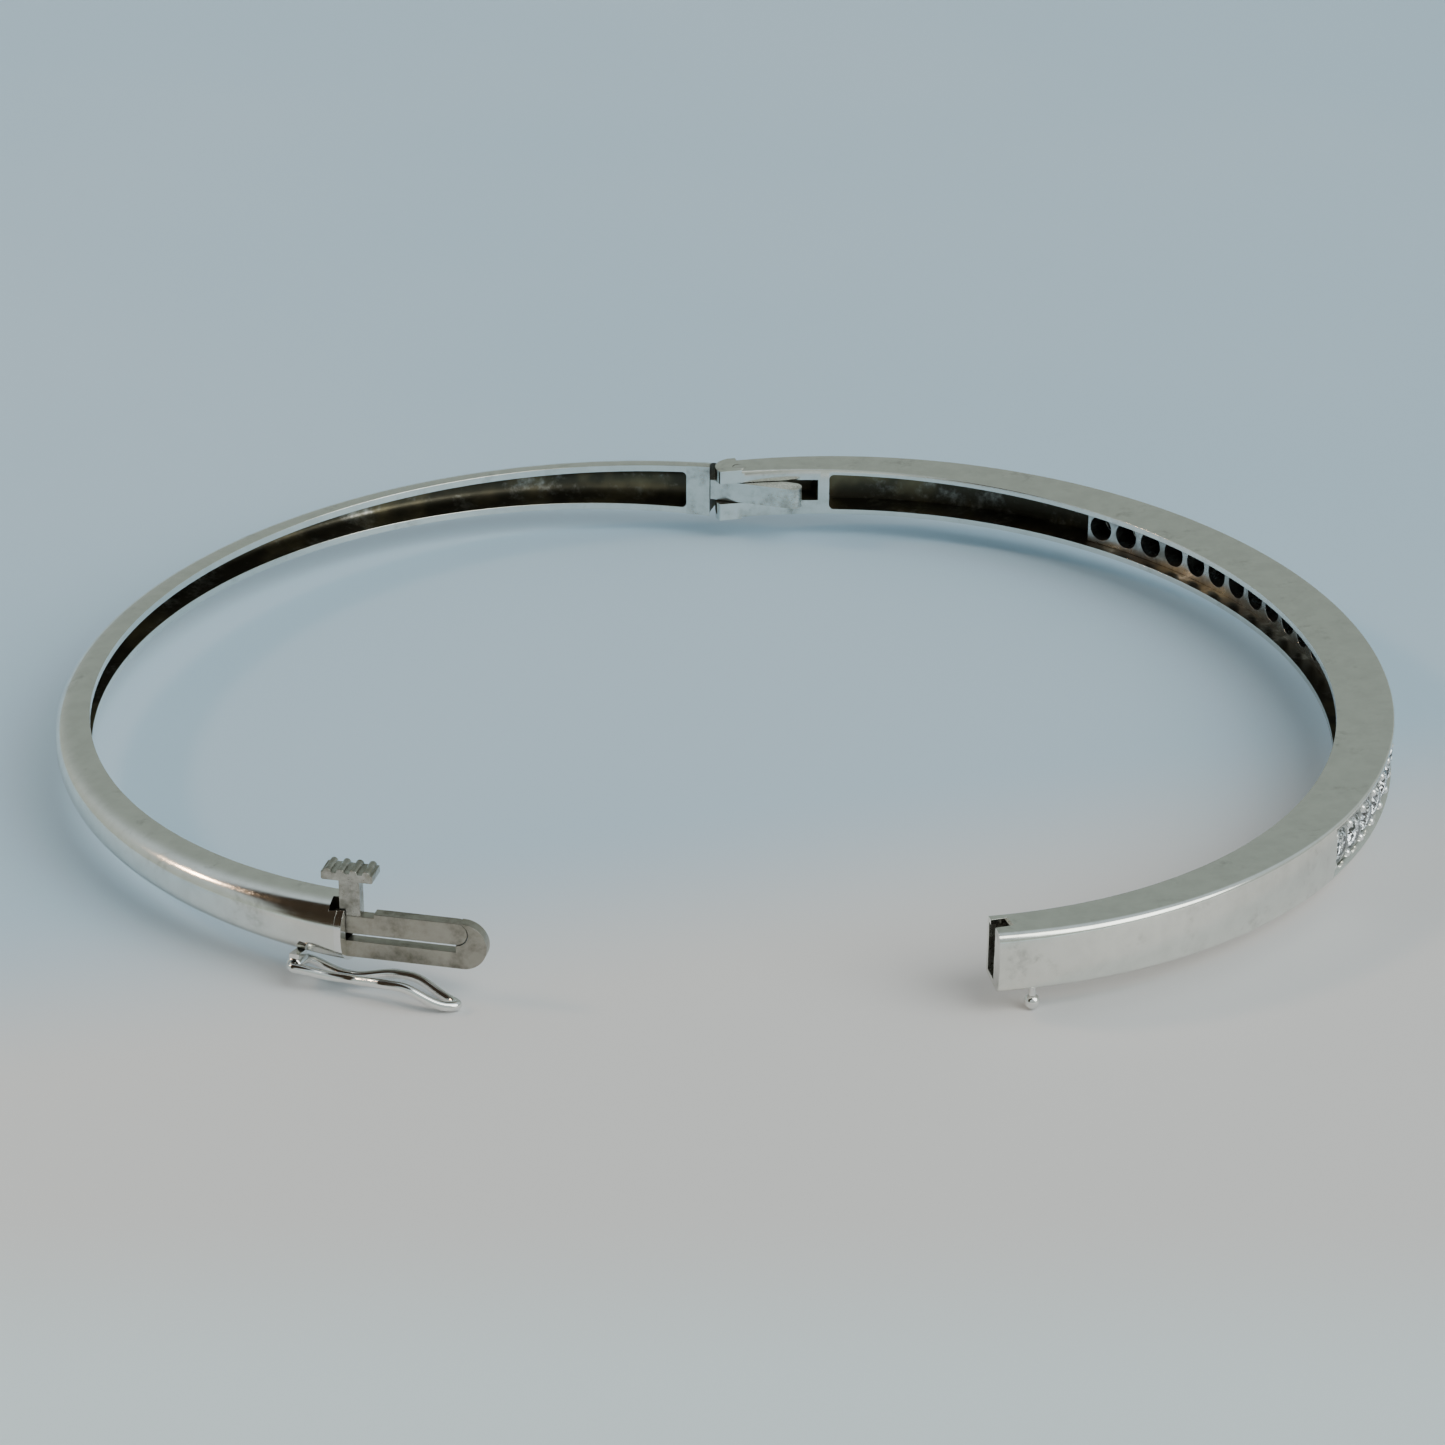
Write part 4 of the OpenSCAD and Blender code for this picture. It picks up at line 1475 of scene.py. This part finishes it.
def ease(x: np.ndarray) -> np.ndarray:
    """Rises smoothly from 0 to 1 between x = 0 and 1, as half of 1 - cos(180 x)."""
    return 0.5 - 0.5 * np.cos(math.pi * np.clip(x, 0, 1))


@dataclass
class SafetyCatch:
    """The figure-eight of wire and the small tube that it turns in."""

    oval: Oval
    finishes: Finishes
    inset: float = 2.6
    out: float = 1.6
    height: float = -0.25
    tilt: float = 10.0
    wire: float = 0.246
    half: float = 0.8
    waist_at: float = 2.7
    waist: float = 0.3
    loop_at: float = 5.0
    loop: float = 0.84
    length: float = 8.35
    corner: float = 0.28
    tube_radius: float = 0.38
    tube_bore: float = 0.29
    tube_length: float = 1.15

    @property
    def frame(self) -> np.ndarray:
        """The catch's own frame: +X along it, +Y towards the wrist, its outer side tilted up."""
        x = -Clasp(self.oval).short - self.inset
        return TONGUE_SIDE @ shift(x, self.oval.clasp_y - self.out, self.height) @ turn_x(-self.tilt)

    def rise(self, u: np.ndarray) -> np.ndarray:
        """Height of the wire's middle at u from the pivot: three smooth steps."""
        return -0.3 * ease(u / 2.4) + 0.22 * ease((u - 2.9) / 2) - 0.78 * ease((u - 5.5) / 2.6)

    def path(self) -> np.ndarray:
        """The wire's closed middle line.

        One side runs out with its half width eased from half to waist to loop, an ellipse
        turns it back, the other side mirrors it, and the straight pivot bar closes it. The
        line is then respaced evenly and averaged over the corner's length, which rounds the
        bar's corners.

        Returns:
            The line's points.
        """
        u = np.linspace(0, self.loop_at, 60)
        near = self.half + (self.waist - self.half) * ease(u / self.waist_at)
        far = (self.loop - self.waist) * ease((u - self.waist_at) / (self.loop_at - self.waist_at))
        v = near + far
        a = np.linspace(0, math.pi, 50)[1:-1]
        bend = np.column_stack([self.loop_at + (self.length - self.loop_at) * np.sin(a),
                                self.loop * np.cos(a)])
        bar = np.column_stack([np.zeros(20), np.linspace(-self.half, self.half, 22)[1:-1]])
        line = np.vstack([np.column_stack([u, v]), bend,
                          np.column_stack([u[::-1], -v[::-1]]), bar])
        loop = np.vstack([line, line[:1]])
        way = np.concatenate([[0], np.cumsum(np.linalg.norm(np.diff(loop, axis=0), axis=1))])
        even = np.linspace(0, way[-1], 320, endpoint=False)
        line = np.column_stack([np.interp(even, way, loop[:, i]) for i in (0, 1)])
        width = max(1, round(self.corner / (even[1] - even[0]) / 2))
        line = np.mean([np.roll(line, i, 0) for i in range(-width, width + 1)], 0)
        return np.column_stack([line, self.rise(np.clip(line[:, 0], 0, None))])

    def build(self) -> None:
        """Makes the wire and its tube."""
        wire = closed_wire(self.path(), self.wire).moved(self.frame)
        add_piece("catch_wire", as_mesh("catch_wire", wire), Body.CATCH,
                  self.finishes.wire, ["safety_catch"])
        half, r, b = self.tube_length / 2, self.tube_radius, self.tube_bore
        e = 0.04
        loop = np.array([[b, -half + e], [b + e, -half], [r - e, -half], [r, -half + e],
                         [r, half - e], [r - e, half], [b + e, half], [b, half - e],
                         [b, -half + e]])
        tube = lathe(loop, 40).moved(turn_x(90))
        saddle = block((-0.25, -half + e, b + 0.03), (0.25, half - e, 0.6))
        both = tube.with_other(saddle).moved(self.frame)
        add_piece("catch_tube", as_mesh("catch_tube", both), Body.TONGUE,
                  self.finishes.wire, ["safety_tube"], Softening(0.03))


# ---------------------------------------------------------------- surroundings


@dataclass(frozen=True)
class SoftLight:
    """A soft studio light: a lit panel that points at the bangle. Lengths in metres."""

    name: str
    place: tuple[float, float, float]
    size: tuple[float, float]
    watts: float
    colour: tuple[float, float, float]
    aim: tuple[float, float, float] = (0.0, -0.03, 0.0)

    def hang(self) -> None:
        """Puts the light in the scene."""
        data = bpy.data.lights.new(self.name, "AREA")
        data.shape, data.size, data.size_y = "RECTANGLE", *self.size
        data.energy, data.color = self.watts, self.colour
        obj = place(bpy.data.objects.new(self.name, data))
        away = np.array(self.place) - np.array(self.aim)
        away /= np.linalg.norm(away)
        side = np.cross([0.0, 0.0, 1.0], away)
        side /= np.linalg.norm(side)
        m = np.eye(4)
        m[:3, 0], m[:3, 1], m[:3, 2], m[:3, 3] = side, np.cross(away, side), away, self.place
        obj.matrix_world = Matrix(m.tolist())


@dataclass(frozen=True)
class RoomPatch:
    """A round patch of the room that is brighter or darker than its walls; angles in degrees."""

    azimuth: float
    elevation: float
    inner: float
    outer: float
    colour: tuple[float, float, float]

    def over(self, kit: NodeKit, way: bpy.types.NodeSocket,
             under: bpy.types.NodeSocket) -> bpy.types.NodeSocket:
        """Lays the patch over the room's colour.

        Args:
            kit: the room's nodes.
            way: the direction looked in.
            under: the colour so far.

        Returns:
            The new colour: the patch's within inner of its middle, and the old beyond outer.
        """
        a, e = math.radians(self.azimuth), math.radians(self.elevation)
        middle = (math.cos(a) * math.cos(e), math.sin(a) * math.cos(e), math.sin(e))
        near = kit.add("ShaderNodeVectorMath", {0: way, 1: middle},
                       operation="DOT_PRODUCT").outputs["Value"]
        share = kit.ranged(near, math.cos(math.radians(self.outer)),
                           math.cos(math.radians(self.inner)))
        return kit.mixed(share, under, (*self.colour, 1.0))


@dataclass
class Studio:
    """Pale floor, soft lights and the camera."""

    floor_z: float = -0.00138
    floor_half: float = 2.0
    focal_px: float = 4076.04
    frame_px: float = 1445.0
    sensor: float = 36.0
    elevation: float = 0.445644
    distance: float = 0.2193536
    roll: float = 0.0043352
    target: tuple[float, float, float] = (-0.0009359, -0.0328536, 0.0016)

    def build(self) -> None:
        """Makes the floor, the lights, the room's light and the camera."""
        self._floor()
        SoftLight("warm key", (-0.66, 0.06, 0.48), (0.1, 0.1), 1.3, (1.0, 0.66, 0.42)).hang()
        self._room_light()
        self._camera()

    def _floor(self) -> None:
        """The floor, with its finish."""
        h = self.floor_half / MM
        z = self.floor_z / MM
        corners = np.array([[-h, -h, z], [h, -h, z], [h, h, z], [-h, h, z]])
        mesh = bpy.data.meshes.new("floor")
        mesh.from_pydata((corners * MM).tolist(), [], [[0, 1, 2, 3]])
        floor = place(bpy.data.objects.new("floor", mesh))
        mesh.materials.append(self._floor_finish())

    @staticmethod
    def _floor_finish() -> bpy.types.Material:
        """Pale satin surface with painted light and shade: a bluish painted shadow far away, a painted
        pool of warmer light nearer, bluer and paler towards the front, with a faint unevenness.
        """
        material, kit, spot = new_material("pale floor")
        axes = kit.add("ShaderNodeSeparateXYZ", {0: spot}).outputs
        slant = kit.maths("SUBTRACT", axes[1], kit.maths("MULTIPLY", axes[0], 0.33))
        # painted shadow and light: a slanted line splits the bluish painted shadow from the painted pool
        # of warm light
        lit = kit.ranged(slant, -0.056, -0.036, 1.0, 0.0)
        # towards the front the floor turns bluer and paler
        near = kit.ranged(axes[1], -0.092, -0.076, 1.0, 0.0)
        tint = kit.mixed(lit, (0.47, 0.65, 0.81, 1.0), (0.74, 0.74, 0.76, 1.0))
        tint = kit.mixed(near, tint, (0.74, 0.87, 0.94, 1.0))
        cloud = kit.ranged(kit.noise(spot, 14.0, 2.0), 0.3, 0.7)
        colour = kit.mixed(kit.maths("MULTIPLY", cloud, 0.08), tint, (0.9, 0.9, 0.9, 1.0))
        bump = kit.add("ShaderNodeBump", {
            "Height": kit.noise(spot, 3000.0, 2.0), "Distance": 4e-6}).outputs["Normal"]
        kit.shade({"Base Color": colour, "Roughness": 0.55, "Specular IOR Level": 0.3,
                   "Normal": bump})
        return material

    @staticmethod
    def _room_light() -> None:
        """The room: pale walls and ceiling, with brighter and darker patches to reflect."""
        world = bpy.data.worlds.new("room")
        bpy.context.scene.world = world
        world.use_nodes = True
        world.node_tree.nodes.clear()
        kit = NodeKit(world.node_tree)
        way = kit.add("ShaderNodeTexCoord").outputs["Generated"]
        axes = kit.add("ShaderNodeSeparateXYZ", {0: way}).outputs
        up = kit.ranged(axes[2], 0.0, 0.9)
        colour = kit.mixed(up, (0.50, 0.55, 0.50, 1.0), (0.62, 0.72, 0.77, 1.0))
        for patch in (RoomPatch(90, 25, 18, 48, (0.33, 0.38, 0.35)),
                      RoomPatch(-30, 34, 16, 26, (4.4, 4.6, 4.4)),
                      RoomPatch(-52, 57, 8, 15, (4.5, 4.6, 4.3)),
                      RoomPatch(-138, 15, 8, 18, (0.05, 0.035, 0.02)),
                      RoomPatch(-141, 34, 12, 22, (0.045, 0.033, 0.02)),
                      RoomPatch(-145, 62, 27, 36, (0.04, 0.03, 0.02))):
            colour = patch.over(kit, way, colour)
        back = kit.add("ShaderNodeBackground", {"Color": colour, "Strength": 1.0})
        kit.add("ShaderNodeOutputWorld", {"Surface": back.outputs[0]})

    def _camera(self) -> None:
        """The camera: above and in front of the clasp, looking towards the hinge."""
        data = bpy.data.cameras.new("camera")
        data.sensor_width = self.sensor
        data.lens = self.focal_px / self.frame_px * self.sensor
        data.clip_start, data.clip_end = 0.01, 10.0
        obj = place(bpy.data.objects.new("camera", data))
        ahead = np.array([0.0, math.cos(self.elevation), -math.sin(self.elevation)])
        right = np.array([1.0, 0.0, 0.0])
        up = np.cross(right, ahead)
        c, s = math.cos(self.roll), math.sin(self.roll)
        m = np.eye(4)
        m[:3, 0], m[:3, 1], m[:3, 2] = c * right + s * up, c * up - s * right, -ahead
        m[:3, 3] = np.array(self.target) - self.distance * ahead
        obj.matrix_world = Matrix(m.tolist())
        bpy.context.scene.camera = obj


def main() -> None:
    """Builds the bangle and its surroundings."""
    logging.basicConfig(level=logging.INFO, format="%(name)s: %(message)s")
    oval, finishes = Oval(), Finishes()
    for part in (BoxHalf(oval, finishes), TongueHalf(oval, finishes),
                 SafetyCatch(oval, finishes)):
        LOG.info("building %s", type(part).__name__)
        part.build()
    Studio().build()


if __name__ == "__main__":
    main()
